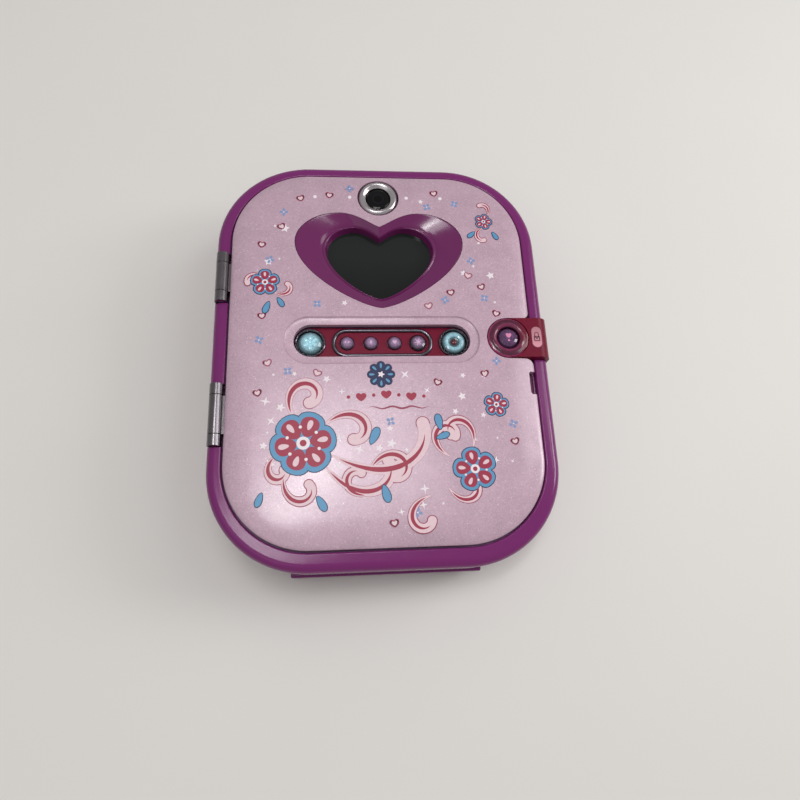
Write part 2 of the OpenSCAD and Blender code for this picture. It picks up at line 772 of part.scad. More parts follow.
// Red clasp that lies in the lid's notch and folds down over the case's side.
module latch_housing() {
    end_r = 5;
    reach = latch_end_x - latch_x;
    color("crimson") difference() {
        union() {
            intersection() {
                plate(deck_top, latch_top - deck_top) latch_outline(latch_r, latch_end_x);
                translate([0, latch_y + 20, 0]) rotate([90, 0, 0]) linear_extrude(40) polygon(concat(
                    [[latch_x - 20, 0], [latch_end_x, 0]],
                    arc(latch_end_x - end_r, latch_top - end_r, end_r, 0, 90, 8),
                    [[latch_x - 20, latch_top]]
                ));
            }
            box(opening_w / 2 + 2, latch_end_x, latch_y - latch_r, latch_y + latch_r,
                latch_foot_z, deck_top + eps);
        }
        post(latch_x, latch_y, latch_ring_r + 0.05, ring_floor_z, latch_top + 1);
        post(latch_x, latch_y, lock_stem_r + stem_clear, deck_top - 1, latch_top + 1);
        plate(latch_top - 0.6, 2)
            translate([latch_x + reach * 0.68, latch_y]) rotate(90) pill_outline(10.6, 4.9);
    }
}

module latch_outline(r, end_x) {
    translate([latch_x, latch_y]) circle(r);
    translate([latch_x, latch_y - r]) square([end_x - latch_x, 2 * r]);
}

// Clear ring round the lock button, with a step.
module latch_ring() {
    color("mediumvioletred") translate([latch_x, latch_y, ring_floor_z]) rotate_extrude() polygon([
        [lock_button_r + 0.3, 0], [latch_ring_r, 0], [latch_ring_r, latch_top - ring_floor_z - 0.5],
        [7.4, latch_top - ring_floor_z - 0.2], [7, latch_top - ring_floor_z + 0.3],
        [lock_button_r + 0.3, latch_top - ring_floor_z]
    ]);
}

module latch_icon_plate() {
    reach = latch_end_x - latch_x;
    color("pink") plate(latch_top - 0.6, 0.9) translate([latch_x + reach * 0.68, latch_y]) rotate(90)
        pill_outline(10.4, 4.7);
}

// Push switch on its own small board under the lock button.
module latch_switch() {
    color("seagreen") box(51, 67, latch_y - 6, latch_y + 6, deck_under - 5, deck_under - 3.6);
    color("dimgray")
        box(latch_x - 3, latch_x + 3, latch_y - 3, latch_y + 3, deck_under - 3.6 - eps, deck_under - 1.9);
}

// Coil that moves the bolt through the lid's catch.
module latch_solenoid() {
    color("goldenrod") difference() {
        box(solenoid_x, solenoid_x + solenoid_l, bolt_y - solenoid_w / 2, bolt_y + solenoid_w / 2,
            bolt_z - solenoid_w / 2, deck_under);
        bore_x(bolt_y, bolt_z, bolt_r + bore_clear, solenoid_x - 1, solenoid_x + solenoid_l + 1);
    }
}

module latch_bolt() {
    color("silver") {
        bore_x(bolt_y, bolt_z, bolt_r, solenoid_x - 1, solenoid_x + solenoid_l + 1);
        bore_x(bolt_y, bolt_z, bolt_tip_r, solenoid_x + solenoid_l, catch_x - 0.6);
    }
}

// Case-side leaf: a plate with a knuckle at each end.
module hinge_leaf(h) {
    color("silver") difference() {
        union() {
            box(-half_w + 0.5, hinge_x + barrel_r - 0.2, h[0], h[0] + h[1],
                hinge_seat_z, hinge_seat_z + leaf_t);
            for (y = [h[0], h[0] + h[1] - knuckle_l]) {
                bore_y(hinge_x, hinge_z, barrel_r, y, y + knuckle_l);
                box(hinge_x - 2, hinge_x + 2, y, y + knuckle_l, hinge_seat_z + leaf_t - eps, hinge_z);
            }
        }
        bore_y(hinge_x, hinge_z, pin_r, h[0] - 1, h[0] + h[1] + 1);
    }
}

module hinge_leaf_upper() {
    hinge_leaf(upper_hinge);
}

module hinge_leaf_lower() {
    hinge_leaf(lower_hinge);
}

module hinge_pins() {
    color("gray")
        for (h = [upper_hinge, lower_hinge])
            bore_y(hinge_x, hinge_z, pin_r, h[0], h[0] + h[1]);
}

// Lid-side leaf: the middle knuckle and a tongue between the lid's shell and liner.
module lid_leaf(h) {
    y0 = h[0] + knuckle_l + knuckle_gap;
    y1 = h[0] + h[1] - knuckle_l - knuckle_gap;
    color("silver") difference() {
        union() {
            bore_y(hinge_x, hinge_z, barrel_r, y0, y1);
            box(hinge_x + 1.5, hinge_x + 14, y0, y1, liner_top, lid_plate_under);
        }
        bore_y(hinge_x, hinge_z, pin_r + bore_clear, h[0], h[0] + h[1]);
    }
}

module lid_leaf_upper() {
    lid_leaf(upper_hinge);
}

module lid_leaf_lower() {
    lid_leaf(lower_hinge);
}

// Cover of the notebook: two boards joined along the top edge.
module notebook_cover() {
    height = 2 * cover_t + pages_t;
    color("hotpink") difference() {
        plate(notebook_z, height) well_outline(-notebook_gap);
        box(-case_w, case_w, -case_l, well_top_y - notebook_gap - 1, notebook_z + cover_t,
            notebook_z + cover_t + pages_t);
    }
}

module notebook_pages() {
    color("ivory") plate(notebook_z + cover_t, pages_t) intersection() {
        well_outline(-notebook_gap - 1.2);
        translate([-case_w / 2, -case_l]) square([case_w, case_l + well_top_y - notebook_gap - 1.2]);
    }
}

// A round lead swept along a few points.
module lead(route) {
    last = len(route) - 1;
    rings = [for (i = [0:last])
        let (
            ahead = route[min(i + 1, last)] - route[max(i - 1, 0)],
            u = ahead / norm(ahead),
            v = [0, 1, 0],
            w = cross(u, v)
        )
        for (k = [0:lead_sides - 1])
            route[i] + lead_r * (v * cos(360 * k / lead_sides) + w * sin(360 * k / lead_sides))];
    sides = [for (i = [0:last - 1], k = [0:lead_sides - 1])
        let (n = (k + 1) % lead_sides, a = i * lead_sides, b = a + lead_sides) [a + k, b + k, b + n, a + n]];
    ends = [[for (k = [0:lead_sides - 1]) k], [for (k = [lead_sides - 1:-1:0]) last * lead_sides + k]];
    polyhedron(rings, concat(sides, ends));
}

module speaker_lead() {
    color("red") lead(speaker_route);
}

module battery_lead() {
    color("red") lead(battery_route);
}

// Everything that is cut through the lid: heart, camera hole, key slot, latch notch and finger notch.
module lid_cuts(grow) {
    heart_outline(1 + 2 * grow / heart_w, 1 + grow / 26);
    translate([0, camera_y]) circle(camera_ring_r + 0.55 + grow);
    translate([0, slot_y]) pill_outline(slot_w + 2 * grow, slot_l + 2 * grow);
    latch_outline(latch_r + latch_gap + grow, half_w + 5);
    translate([lid_w / 2 - 2 - grow, -24 - grow]) square([10, 11 + 2 * grow]);
}

// Pink outer shell of the lid.
module lid_shell() {
    rib = 1.6;
    inner = pillow_w + 1;
    color("pink") difference() {
        union() {
            translate([0, lid_shift, 0]) {
                around(lid_w, lid_l, lid_r) polygon(concat(
                    [[0, lid_under]],
                    shoulder(pillow_w, pillow_h, lid_top),
                    [
                        [-inner, lid_top], [-inner, lid_plate_under], [-lid_skirt_t, lid_plate_under],
                        [-lid_skirt_t, lid_under]
                    ]
                ));
                plate(lid_plate_under, lid_t)
                    rounded_outline(lid_w - 2 * pillow_w, lid_l - 2 * pillow_w, lid_r - pillow_w);
            }
            plate(liner_top, lid_plate_under - liner_top + eps) intersection() {
                lid_cuts(rib);
                translate([0, lid_shift]) rounded_outline(lid_w - 2, lid_l - 2, lid_r - 1);
            }
            for (s = lid_screw_spots)
                post(s[0], s[1], 3, liner_top, lid_plate_under + eps);
        }
        plate(lid_under - 1, 20) lid_cuts(0);
        plate(lid_top - 0.8, 2) translate([0, slot_y]) pill_outline(recess_w, recess_l);
        for (s = lid_screw_spots)
            post(s[0], s[1], 1.05, lid_under, lid_plate_under + 1);
        for (h = [upper_hinge, lower_hinge])
            box(-lid_w / 2 - 1, -lid_w / 2 + 5, h[0] - 0.3, h[0] + h[1] + 0.3, lid_under - 1, lid_plate_under);
    }
}

// Flat panel that closes the lid from below.
module lid_liner() {
    color("plum") difference() {
        plate(lid_under, liner_t) difference() {
            translate([0, lid_shift])
                rounded_outline(lid_w - 2 * lid_skirt_t - 0.4, lid_l - 2 * lid_skirt_t - 0.4,
                    lid_r - lid_skirt_t - 0.2);
            lid_cuts(0.8);
        }
        for (s = lid_screw_spots) {
            post(s[0], s[1], 1.3, lid_under - 1, liner_top + 1);
            post(s[0], s[1], 2.3, lid_under - 1, lid_under + 0.9);
        }
        for (h = [upper_hinge, lower_hinge])
            box(-lid_w / 2, -lid_w / 2 + 5, h[0] - 0.3, h[0] + h[1] + 0.3, lid_under - 1, liner_top + 1);
    }
}

// Tab with a window that the bolt slides through.
module lid_catch() {
    half = 3.6;
    color("silver") difference() {
        box(catch_x, catch_x + catch_t, bolt_y - half, bolt_y + half, bolt_z - half - 0.4, lid_under);
        box(catch_x - 1, catch_x + catch_t + 1, bolt_y - 2.1, bolt_y + 2.1, bolt_z - 2.1, bolt_z + 2.1);
    }
}

module lid_screws() {
    color("silver")
        for (s = lid_screw_spots)
            difference() {
                union() {
                    post(s[0], s[1], 2.1, lid_under + 0.1, lid_under + 0.9);
                    post(s[0], s[1], 1, lid_under + 0.8, lid_plate_under + 0.8);
                }
                cross_slot(s[0], s[1], lid_under + 0.1, 0.5);
            }
}

module drawer_tray() {
    color("plum") difference() {
        box(-tray_w / 2, tray_w / 2, tray_y, tray_y + drawer_l, tray_z, tray_z + tray_h);
        box(-tray_w / 2 + tray_t, tray_w / 2 - tray_t, tray_y + tray_t, tray_y + drawer_l - tray_t,
            tray_z + tray_t, tray_z + tray_h + 1);
    }
}

// Front of the drawer, with a finger groove along its lower edge.
module drawer_front() {
    color("mediumorchid") difference() {
        box(-drawer_w / 2, drawer_w / 2, drawer_front_y, tray_y, drawer_z, drawer_z + drawer_h);
        box(-12, 12, drawer_front_y - 1, drawer_front_y + 1.6, drawer_z - 1, drawer_z + 2);
    }
}

// A key: gem, stem through the deck, and a flange that keeps it in.
module key(x, r, stem_r, top) {
    translate([x, slot_y, 0]) rotate_extrude() polygon([
        [0, key_flange_z], [stem_r + 1, key_flange_z], [stem_r + 1, key_flange_z + key_flange_t],
        [stem_r, key_flange_z + key_flange_t], [stem_r, key_cap_z], [r, key_cap_z], [r, top - 1.1],
        [r * 0.6, top], [0, top]
    ]);
}

module left_key() {
    color("skyblue") key(-large_key_x, large_key_r, large_stem_r, large_key_top);
}

module right_key() {
    color("skyblue") key(large_key_x, large_key_r, large_stem_r, large_key_top);
}

module small_key(i) {
    color("purple") key(small_key_x[i], small_key_radii[i], small_stem_r, small_key_top);
}

module number_key_1() {
    small_key(0);
}

module number_key_2() {
    small_key(1);
}

module number_key_3() {
    small_key(2);
}

module number_key_4() {
    small_key(3);
}

module latch_button() {
    cap_z = ring_floor_z + lock_travel + 0.2;
    color("indigo") translate([latch_x, latch_y, 0]) rotate_extrude() polygon([
        [0, deck_under - 0.4], [lock_stem_r, deck_under - 0.4], [lock_stem_r, cap_z], [lock_button_r, cap_z],
        [lock_button_r, latch_top - 0.4], [lock_button_r - 0.5, latch_top], [0, latch_top]
    ]);
}

bottom_case();
top_frame();
deck_panel();
storage_well();
heart_bezel();
screen_lens();
lcd_panel();
lcd_holder();
main_board();
board_chips();
key_board();
key_mat();
key_plate();
key_trim();
key_frames();
camera_ring();
camera_lens();
camera_module();
speaker();
microphone();
headphone_jack();
usb_port();
battery_door();
door_screw();
aa_cell_1();
aa_cell_2();
aa_cell_3();
aa_cell_4();
battery_contacts();
rubber_feet();
case_screws();
latch_housing();
latch_ring();
latch_icon_plate();
latch_switch();
latch_solenoid();
hinge_leaf_upper();
hinge_leaf_lower();
hinge_pins();
notebook_cover();
notebook_pages();
speaker_lead();
battery_lead();
lid_shell();
lid_liner();
lid_catch();
lid_screws();
lid_leaf_upper();
lid_leaf_lower();
drawer_tray();
drawer_front();
left_key();
right_key();
number_key_1();
number_key_2();
number_key_3();
number_key_4();
latch_button();
latch_bolt();
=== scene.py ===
"""Outer looks of an electronic secret diary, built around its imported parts."""
import json
import math
import random

import bmesh
import bpy
from bpy.props import FloatProperty, FloatVectorProperty, IntProperty, PointerProperty
from bpy.types import Operator, Panel, PropertyGroup
from mathutils import Matrix, Vector, geometry

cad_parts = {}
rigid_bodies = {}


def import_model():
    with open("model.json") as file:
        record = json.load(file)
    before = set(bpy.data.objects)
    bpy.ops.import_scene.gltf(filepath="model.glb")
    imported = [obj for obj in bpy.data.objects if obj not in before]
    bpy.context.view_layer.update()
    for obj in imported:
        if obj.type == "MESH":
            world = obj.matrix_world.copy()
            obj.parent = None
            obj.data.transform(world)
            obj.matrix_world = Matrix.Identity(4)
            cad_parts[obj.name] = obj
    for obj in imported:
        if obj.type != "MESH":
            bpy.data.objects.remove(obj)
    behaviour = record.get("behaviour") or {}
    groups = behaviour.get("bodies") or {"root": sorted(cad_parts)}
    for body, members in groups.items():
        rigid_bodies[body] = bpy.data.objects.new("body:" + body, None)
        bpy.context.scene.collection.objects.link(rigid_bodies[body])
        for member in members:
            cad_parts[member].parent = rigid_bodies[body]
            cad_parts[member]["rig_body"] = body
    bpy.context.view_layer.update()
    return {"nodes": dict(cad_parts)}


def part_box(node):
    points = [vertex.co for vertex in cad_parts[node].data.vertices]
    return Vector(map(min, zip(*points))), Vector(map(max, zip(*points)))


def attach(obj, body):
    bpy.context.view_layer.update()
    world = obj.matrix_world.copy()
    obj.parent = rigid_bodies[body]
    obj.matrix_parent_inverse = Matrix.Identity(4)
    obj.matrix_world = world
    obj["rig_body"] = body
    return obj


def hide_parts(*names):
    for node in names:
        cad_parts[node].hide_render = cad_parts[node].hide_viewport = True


bl_info = {
    "name": "Secret diary",
    "version": (1, 0, 0),
    "blender": (4, 5, 0),
    "location": "3D View > Sidebar > Diary",
    "description": "Dresses the packed parts of an electronic secret diary",
    "category": "Object",
}

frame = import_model()

# Meshes are modelled in millimetres and scaled to metres when a piece is finished.
MM = 0.001

# Places and sizes on the cover, in millimetres from its middle.
LID_MID = (0, 1.0)
LID_W, LID_L, LID_CORNER = 140, 182, 37
LID_WALL = 2.2
HEART_MID = Vector((0, 46.8))
HEART_W, HEART_L = 81.4, 52
CAMERA = Vector((0, 79))
CAMERA_OPENING = 10.25
SLOT = Vector((0, 2.9))
SLOT_W, SLOT_L = 81.5, 15.8
LARGE_KEY_X = 33.4
LARGE_KEY_R = 5.7
SMALL_KEY_X = (-16.5, -5.5, 5.5, 16.5)
LATCH = Vector((58.7, 3.5))
LATCH_R = 9.8
LATCH_GAP = 0.35
SIGN_X = 72.0
NOTCH_Y = -18.5
HINGES = ((23.0, 48.0), (-45.0, -17.0))
# Kept off full half rounds, so that a short straight edge is left.
HAIR = 0.01


def box_mm(name):
    """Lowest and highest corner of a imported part, in millimetres."""
    low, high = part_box(name)
    return low / MM, high / MM


DECK_Z = box_mm("deck_panel")[1].z
LID_LOW, LID_HIGH = box_mm("lid_shell")
RIM_Z = box_mm("top_frame")[1].z
# Where the keys' gems begin above their stems.
CAP_Z = DECK_Z + 1.3


def linear(code):
    """Linear red, green and blue of an sRGB hex colour."""
    shares = [int(code[i:i + 2], 16) / 255 for i in (0, 2, 4)]
    return [s / 12.92 if s <= 0.04045 else ((s + 0.055) / 1.055) ** 2.4 for s in shares]


def colour_prop(name, code, description):
    return FloatVectorProperty(
        name=name, description=description, subtype="COLOR", size=3, min=0, max=1, default=linear(code)
    )


def length_prop(name, millimetres, description):
    return FloatProperty(
        name=name, description=description, default=millimetres * MM, min=0, unit="LENGTH",
        subtype="DISTANCE", precision=4
    )


class DiaryColours(PropertyGroup):
    """Colours of the diary's plastics and inks"""
    case: colour_prop("Case", "762668", "Plastic of the case and its rim")
    lid: colour_prop("Lid", "BD9DAE", "Pearl plastic of the lid")
    deck: colour_prop("Inside", "A678A6", "Plastic of the panels inside")
    bezel: colour_prop("Heart bezel", "6A1E58", "Glossy funnel round the screen")
    clasp: colour_prop("Clasp", "700C2A", "Clasp round the lock button")
    plate: colour_prop("Key plate", "74122F", "Plate under the keys")
    wine: colour_prop("Clear ring", "74264A", "Clear ring round the lock button")
    blue_key: colour_prop("Large keys", "96C4D2", "Glitter gems of the two large keys")
    violet_key: colour_prop("Small keys", "917296", "Gems of the four small keys")
    button: colour_prop("Lock button", "5A3660", "Dark gem of the lock button")
    icon: colour_prop("Lock sign", "CC8A98", "Oval behind the padlock sign")
    window: colour_prop("Window", "1B1E1D", "Smoked window over the display")
    red_ink: colour_prop("Red ink", "A02A46", "Strongest ink of the print")
    wine_ink: colour_prop("Wine ink", "98405A", "Fine outlines of the print")
    blush_ink: colour_prop("Blush ink", "E6C8D0", "Palest red of the print")
    blue_ink: colour_prop("Blue ink", "5C97C0", "Cool ink of the print")
    navy_ink: colour_prop("Navy ink", "232A52", "Darkest ink of the print")
    white_ink: colour_prop("White ink", "EFE4EA", "Sparkles of the print")


class DiarySizes(PropertyGroup):
    """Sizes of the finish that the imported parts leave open"""
    pillow_width: length_prop("Pillow width", 14.0, "How far the lid's rounding reaches in from its edge")
    pillow_height: length_prop("Pillow height", 2.0, "How much lower the lid is at its edge")
    soft_edge: length_prop("Soft edge", 0.4, "Rounding of a moulded edge")
    flake: length_prop("Flake", 0.4, "Size of a glitter flake, drawn coarse enough to show")
    ink: length_prop("Ink", 0.03, "Thickness of one layer of printed ink")
    sparkles: IntProperty(name="Sparkles", description="Number of printed white sparkles", default=60, min=0)


def rgba(colour, share=1.0):
    """A colour with its alpha, made lighter or darker by a share."""
    return [min(1.0, c * share) for c in colour] + [1.0]


def per_mm(size):
    """Texture scale at which one cell measures that many millimetres."""
    return 1 / (size * MM)


# Sockets of a Mix node that is set to colours.
MIX_A, MIX_B, MIX_OUT = 6, 7, 2


class Finish:
    """A material in the making: its shader, its object coordinates and the nodes behind them"""

    def __init__(self, name, sockets):
        self.material = bpy.data.materials.new(name)
        self.material.use_nodes = True
        self.tree = self.material.node_tree
        self.shader = self.tree.nodes["Principled BSDF"]
        for socket, value in sockets.items():
            self.shader.inputs[socket].default_value = value
        self.coords = self.add("TexCoord", {}).outputs["Object"]

    def add(self, kind, inputs, **settings):
        """Adds a shader node. An input is a value, or a socket to link from."""
        made = self.tree.nodes.new("ShaderNode" + kind)
        for name, value in settings.items():
            setattr(made, name, value)
        for key, value in inputs.items():
            if isinstance(value, bpy.types.NodeSocket):
                self.tree.links.new(value, made.inputs[key])
            else:
                made.inputs[key].default_value = value
        return made

    def noise(self, size, detail, **inputs):
        """Noise with features of about that many millimetres."""
        return self.add("TexNoise", {
            "Vector": self.coords, "Scale": per_mm(size), "Detail": detail, **inputs
        }).outputs["Fac"]

    def flakes(self, size):
        """Random red, green and blue values, one set for each flake."""
        cells = self.add("TexVoronoi", {"Vector": self.coords, "Scale": per_mm(size)})
        return self.add("SeparateColor", {"Color": cells.outputs["Color"]}).outputs

    def along(self, axis, vector=None):
        """Place along an axis, in metres."""
        return self.add("SeparateXYZ", {"Vector": vector or self.coords}).outputs[axis]

    def calc(self, operation, *values):
        """Result of a sum of that kind."""
        return self.add("Math", dict(enumerate(values)), operation=operation).outputs[0]

    def remap(self, value, to=(0, 1), source=(0, 1), **settings):
        """Carries a value from a source range to another."""
        return self.add("MapRange", {
            "Value": value, "From Min": source[0], "From Max": source[1], "To Min": to[0], "To Max": to[1]
        }, **settings).outputs["Result"]

    def rings(self, centre, stops, pitch=None):
        """Colour by distance from a middle, or from each in a row along X.

        A stop is a distance in millimetres, a colour and its share of lightness.
        """
        local = self.add("Mapping", {
            "Vector": self.coords, "Scale": (1 / MM, 1 / MM, 0), "Location": (-centre[0], -centre[1], 0)
        }).outputs["Vector"]
        if pitch:
            across = self.calc("WRAP", self.along("X", local), pitch / 2, -pitch / 2)
            local = self.add("CombineXYZ", {"X": across, "Y": self.along("Y", local)}).outputs["Vector"]
        distance = self.add("VectorMath", {0: local}, operation="LENGTH").outputs["Value"]
        reach = stops[-1][0]
        made = self.add("ValToRGB", {"Fac": self.remap(distance, source=(0, reach))})
        elements = made.color_ramp.elements
        elements.remove(elements[1])
        elements[0].position = 0
        elements[0].color = rgba(*stops[0][1:])
        for place, colour, lightness in stops[1:]:
            elements.new(place / reach).color = rgba(colour, lightness)
        return made.outputs["Color"]

    def paint(self, colour):
        """Links the base colour."""
        self.tree.links.new(colour, self.shader.inputs["Base Color"])
        return colour

    def mix(self, share, first, second):
        """Paints a mixture of two colours."""
        mixed = self.add("Mix", {0: share, MIX_A: first, MIX_B: second}, data_type="RGBA")
        return self.paint(mixed.outputs[MIX_OUT])

    def vary(self, factor, colour, spread):
        """Paints a colour that drifts by a spread either way as the factor goes from 0 to 1."""
        return self.mix(factor, rgba(colour, 1 - spread), rgba(colour, 1 + spread))

    def brighten(self, colour, factor, spread):
        """Paints a colour, made darker or lighter by a spread as the factor goes from 0 to 1."""
        shine = self.remap(factor, to=(1 - spread, 1 + spread))
        self.paint(self.add("VectorMath", {0: colour, "Scale": shine}, operation="SCALE").outputs["Vector"])

    def roughen(self, factor, low, high):
        """Links a roughness that goes from low to high."""
        self.tree.links.new(self.remap(factor, to=(low, high)), self.shader.inputs["Roughness"])

    def emboss(self, height, relief, strength=1.0):
        """Links a bump of that relief, in millimetres."""
        bump = self.add("Bump", {"Height": height, "Distance": relief * MM, "Strength": strength})
        self.tree.links.new(bump.outputs["Normal"], self.shader.inputs["Normal"])


def moulded(name, colour, roughness, grain=0.35, relief=0.012, **sockets):
    """Injection-moulded plastic: an even colour with faint flow marks, and the mould's fine grain."""
    made = Finish(name, {"IOR": 1.5, **sockets})
    flow, rub, skin = made.noise(22, 4), made.noise(6, 5), made.noise(grain, 2)
    made.vary(flow, colour, 0.05)
    made.roughen(rub, roughness * 0.8, roughness * 1.2)
    made.emboss(skin, relief)
    return made.material


def pearl_plastic(colour, flake):
    """Pearl ABS of the lid: flakes in the resin catch the light one by one under a clear skin; a few are
    painted pale, as painted glints.
    """
    made = Finish("abs_pearl_pink", {
        "IOR": 1.5, "Metallic": 0.1, "Roughness": 0.45, "Coat Weight": 0.9, "Coat Roughness": 0.18
    })
    flakes = made.flakes(flake)
    clouded = made.calc("MULTIPLY_ADD", flakes["Red"], 0.7, made.noise(9, 5))
    body = made.vary(made.remap(clouded, source=(0.35, 1.3)), colour, 0.15)
    # A few flakes are painted pale: painted glints for the flakes that lie flat enough to flash.
    painted_glint = made.remap(flakes["Green"], to=(0, 0.5), source=(0.965, 1.0))
    made.mix(painted_glint, body, rgba(linear("EFDDE8")))
    made.emboss(flakes["Blue"], 0.02, 0.3)
    return made.material


def polished(name, colour, roughness, **sockets):
    """Plastic from a polished mould: glossy, with fine scuffs and a shallow waviness."""
    made = Finish(name, {"IOR": 1.5, **sockets})
    wave, scuffs = made.noise(14, 2), made.noise(1.6, 6, Roughness=0.7)
    made.vary(wave, colour, 0.05)
    made.roughen(scuffs, roughness * 0.6, roughness * 1.6)
    made.emboss(wave, 0.03)
    return made.material


def cut_gem(name, centre, colour, stops, pitch=None, glitter=0.25, flake=0.4):
    """Acrylic gem over foil, with painted light: a painted highlight in the middle and painted shade at its
    edge, with glitter under a glossy skin.
    """
    made = Finish(name, {"IOR": 1.49, "Roughness": 0.12, "Coat Weight": 0.5, "Coat Roughness": 0.03})
    # The stops paint the gem's light and shade into its colour.
    painted_gem_light = made.rings(centre, [(reach, colour, share) for reach, share in stops], pitch)
    flakes = made.flakes(flake)
    made.brighten(painted_gem_light, flakes["Green"], glitter)
    made.emboss(flakes["Blue"], 0.03, 0.25)
    return made.material


def clear_lens_ring(name, wine, clasp):
    """Clear wine-coloured polycarbonate with painted light: painted shade where it is thick, painted
    highlights at its lip and beside the button, and the clasp's red painted in where it would show through.
    """
    made = Finish(name, {
        "IOR": 1.5, "Roughness": 0.12, "Specular IOR Level": 0.4, "Coat Weight": 0.3, "Coat Roughness": 0.03
    })
    # Painted shade in the thick band; painted highlights beside the button and at the lip.
    wine_and_painted_light = made.rings(LATCH, [(reach, wine, share) for reach, share in (
        (0.0, 0.4), (5.5, 0.5), (6.2, 1.2), (7.0, 0.95), (7.6, 0.5), (8.9, 0.45), (9.25, 1.3), (9.6, 2.6)
    )])
    # The clasp's red is painted in where it would show through the clear ring.
    clasp_side = made.remap(
        made.along("X"), source=((LATCH.x + 4) * MM, (LATCH.x + 8) * MM), interpolation_type="SMOOTHSTEP"
    )
    made.brighten(made.mix(clasp_side, wine_and_painted_light, rgba(clasp)), made.noise(1.8, 2), 0.4)
    return made.material


def metal(name, code, roughness, brushed=0.0):
    """Metal surface: smooth when plated, with fine lines along Y when brushed or drawn."""
    made = Finish(name, {"Metallic": 1.0})
    stretched = made.add("Mapping", {"Vector": made.coords, "Scale": (1.0, 0.06, 1.0)})
    lines, dull = made.noise(0.25, 3, Vector=stretched.outputs["Vector"]), made.noise(4, 4)
    made.vary(dull, linear(code), 0.06)
    made.roughen(dull, roughness * 0.7, roughness * 1.4)
    made.emboss(lines, 0.004 + 0.02 * brushed, 0.3 + 0.7 * brushed)
    return made.material


def smoked_window(colour):
    """Smoked acrylic over a dark display: nearly black, with a faint lighter band across it that is a painted
    reflection.
    """
    made = Finish("acrylic_smoked", {"IOR": 1.49, "Roughness": 0.07, "Specular IOR Level": 0.3})
    # The lighter band is a painted reflection across the glass.
    band = made.remap(made.along("Y"), source=(0.024, 0.058), interpolation_type="SMOOTHSTEP")
    made.vary(made.calc("MULTIPLY_ADD", made.noise(12, 3), 0.4, band), colour, 0.35)
    return made.material


def lens_coating():
    """Black lens with its coating: a faint violet ring round a black pupil."""
    made = Finish("glass_coated_lens", {"IOR": 1.52, "Roughness": 0.04, "Specular IOR Level": 0.2})
    black, violet = linear("08080B"), linear("1A1624")
    made.paint(made.rings(CAMERA, (
        (0.0, black, 0.3), (2.1, black, 0.6), (2.5, violet, 1.0), (3.1, black, 1.0), (5.0, black, 1.6),
        (6.0, black, 0.4)
    )))
    return made.material


def printed_oval(name, colour):
    """Rose print on plastic under a clear skin, paler towards the drawer."""
    made = Finish(name, {"IOR": 1.5, "Roughness": 0.3, "Specular IOR Level": 0.35})
    down = made.remap(made.along("Y"), source=((LATCH.y + 4) * MM, (LATCH.y - 5) * MM))
    made.vary(down, colour, 0.2)
    made.emboss(made.noise(0.6, 3), 0.015)
    return made.material


def stacked_paper():
    """Uncoated paper: a warm white block whose sides show its leaves as fine lines."""
    made = Finish("paper_stacked", {"Roughness": 0.85})
    leaves = made.add("TexWave", {
        "Vector": made.coords, "Scale": per_mm(2.4), "Distortion": 0.6, "Detail": 2.0
    }, bands_direction="Z").outputs["Fac"]
    made.vary(leaves, linear("E4DFD4"), 0.1)
    made.emboss(leaves, 0.05)
    return made.material


def circuit_board(name, code):
    """Glass-epoxy board under green solder mask, with darker copper-free lanes."""
    made = Finish(name, {"Roughness": 0.4, "Coat Weight": 0.2})
    green = linear(code)
    lanes = made.add("TexBrick", {
        "Vector": made.coords, "Scale": per_mm(5), "Color1": rgba(green), "Color2": rgba(green, 1.25),
        "Mortar": rgba(green, 0.6), "Mortar Size": 0.04
    }).outputs
    made.paint(lanes["Color"])
    made.emboss(lanes["Fac"], 0.03)
    return made.material


def soft_rubber(name, code, roughness=0.75):
    """Moulded rubber or silicone: matt, with a dusty bloom."""
    made = Finish(name, {"IOR": 1.45, "Sheen Weight": 0.15, "Sheen Roughness": 0.5})
    bloom = made.noise(3, 6)
    made.vary(bloom, linear(code), 0.18)
    made.roughen(bloom, roughness * 0.85, min(1.0, roughness * 1.15))
    made.emboss(bloom, 0.02)
    return made.material


def ink(name, colour):
    """Screen-printed ink: satin, a little uneven, and thin over the plastic."""
    made = Finish(name, {"IOR": 1.5, "Specular IOR Level": 0.35})
    cover = made.noise(1.1, 5)
    made.vary(cover, colour, 0.12)
    made.roughen(cover, 0.28, 0.5)
    return made.material


def cell_jacket():
    """Printed shrink sleeve of a cell: dark, with a lighter band at one end."""
    made = Finish("pvc_shrink_sleeve", {"Roughness": 0.3, "Coat Weight": 0.4})
    band = made.calc("GREATER_THAN", made.along("Y"), 0.058)
    made.mix(band, rgba(linear("2B2F3A")), rgba(linear("B07A3A")))
    return made.material


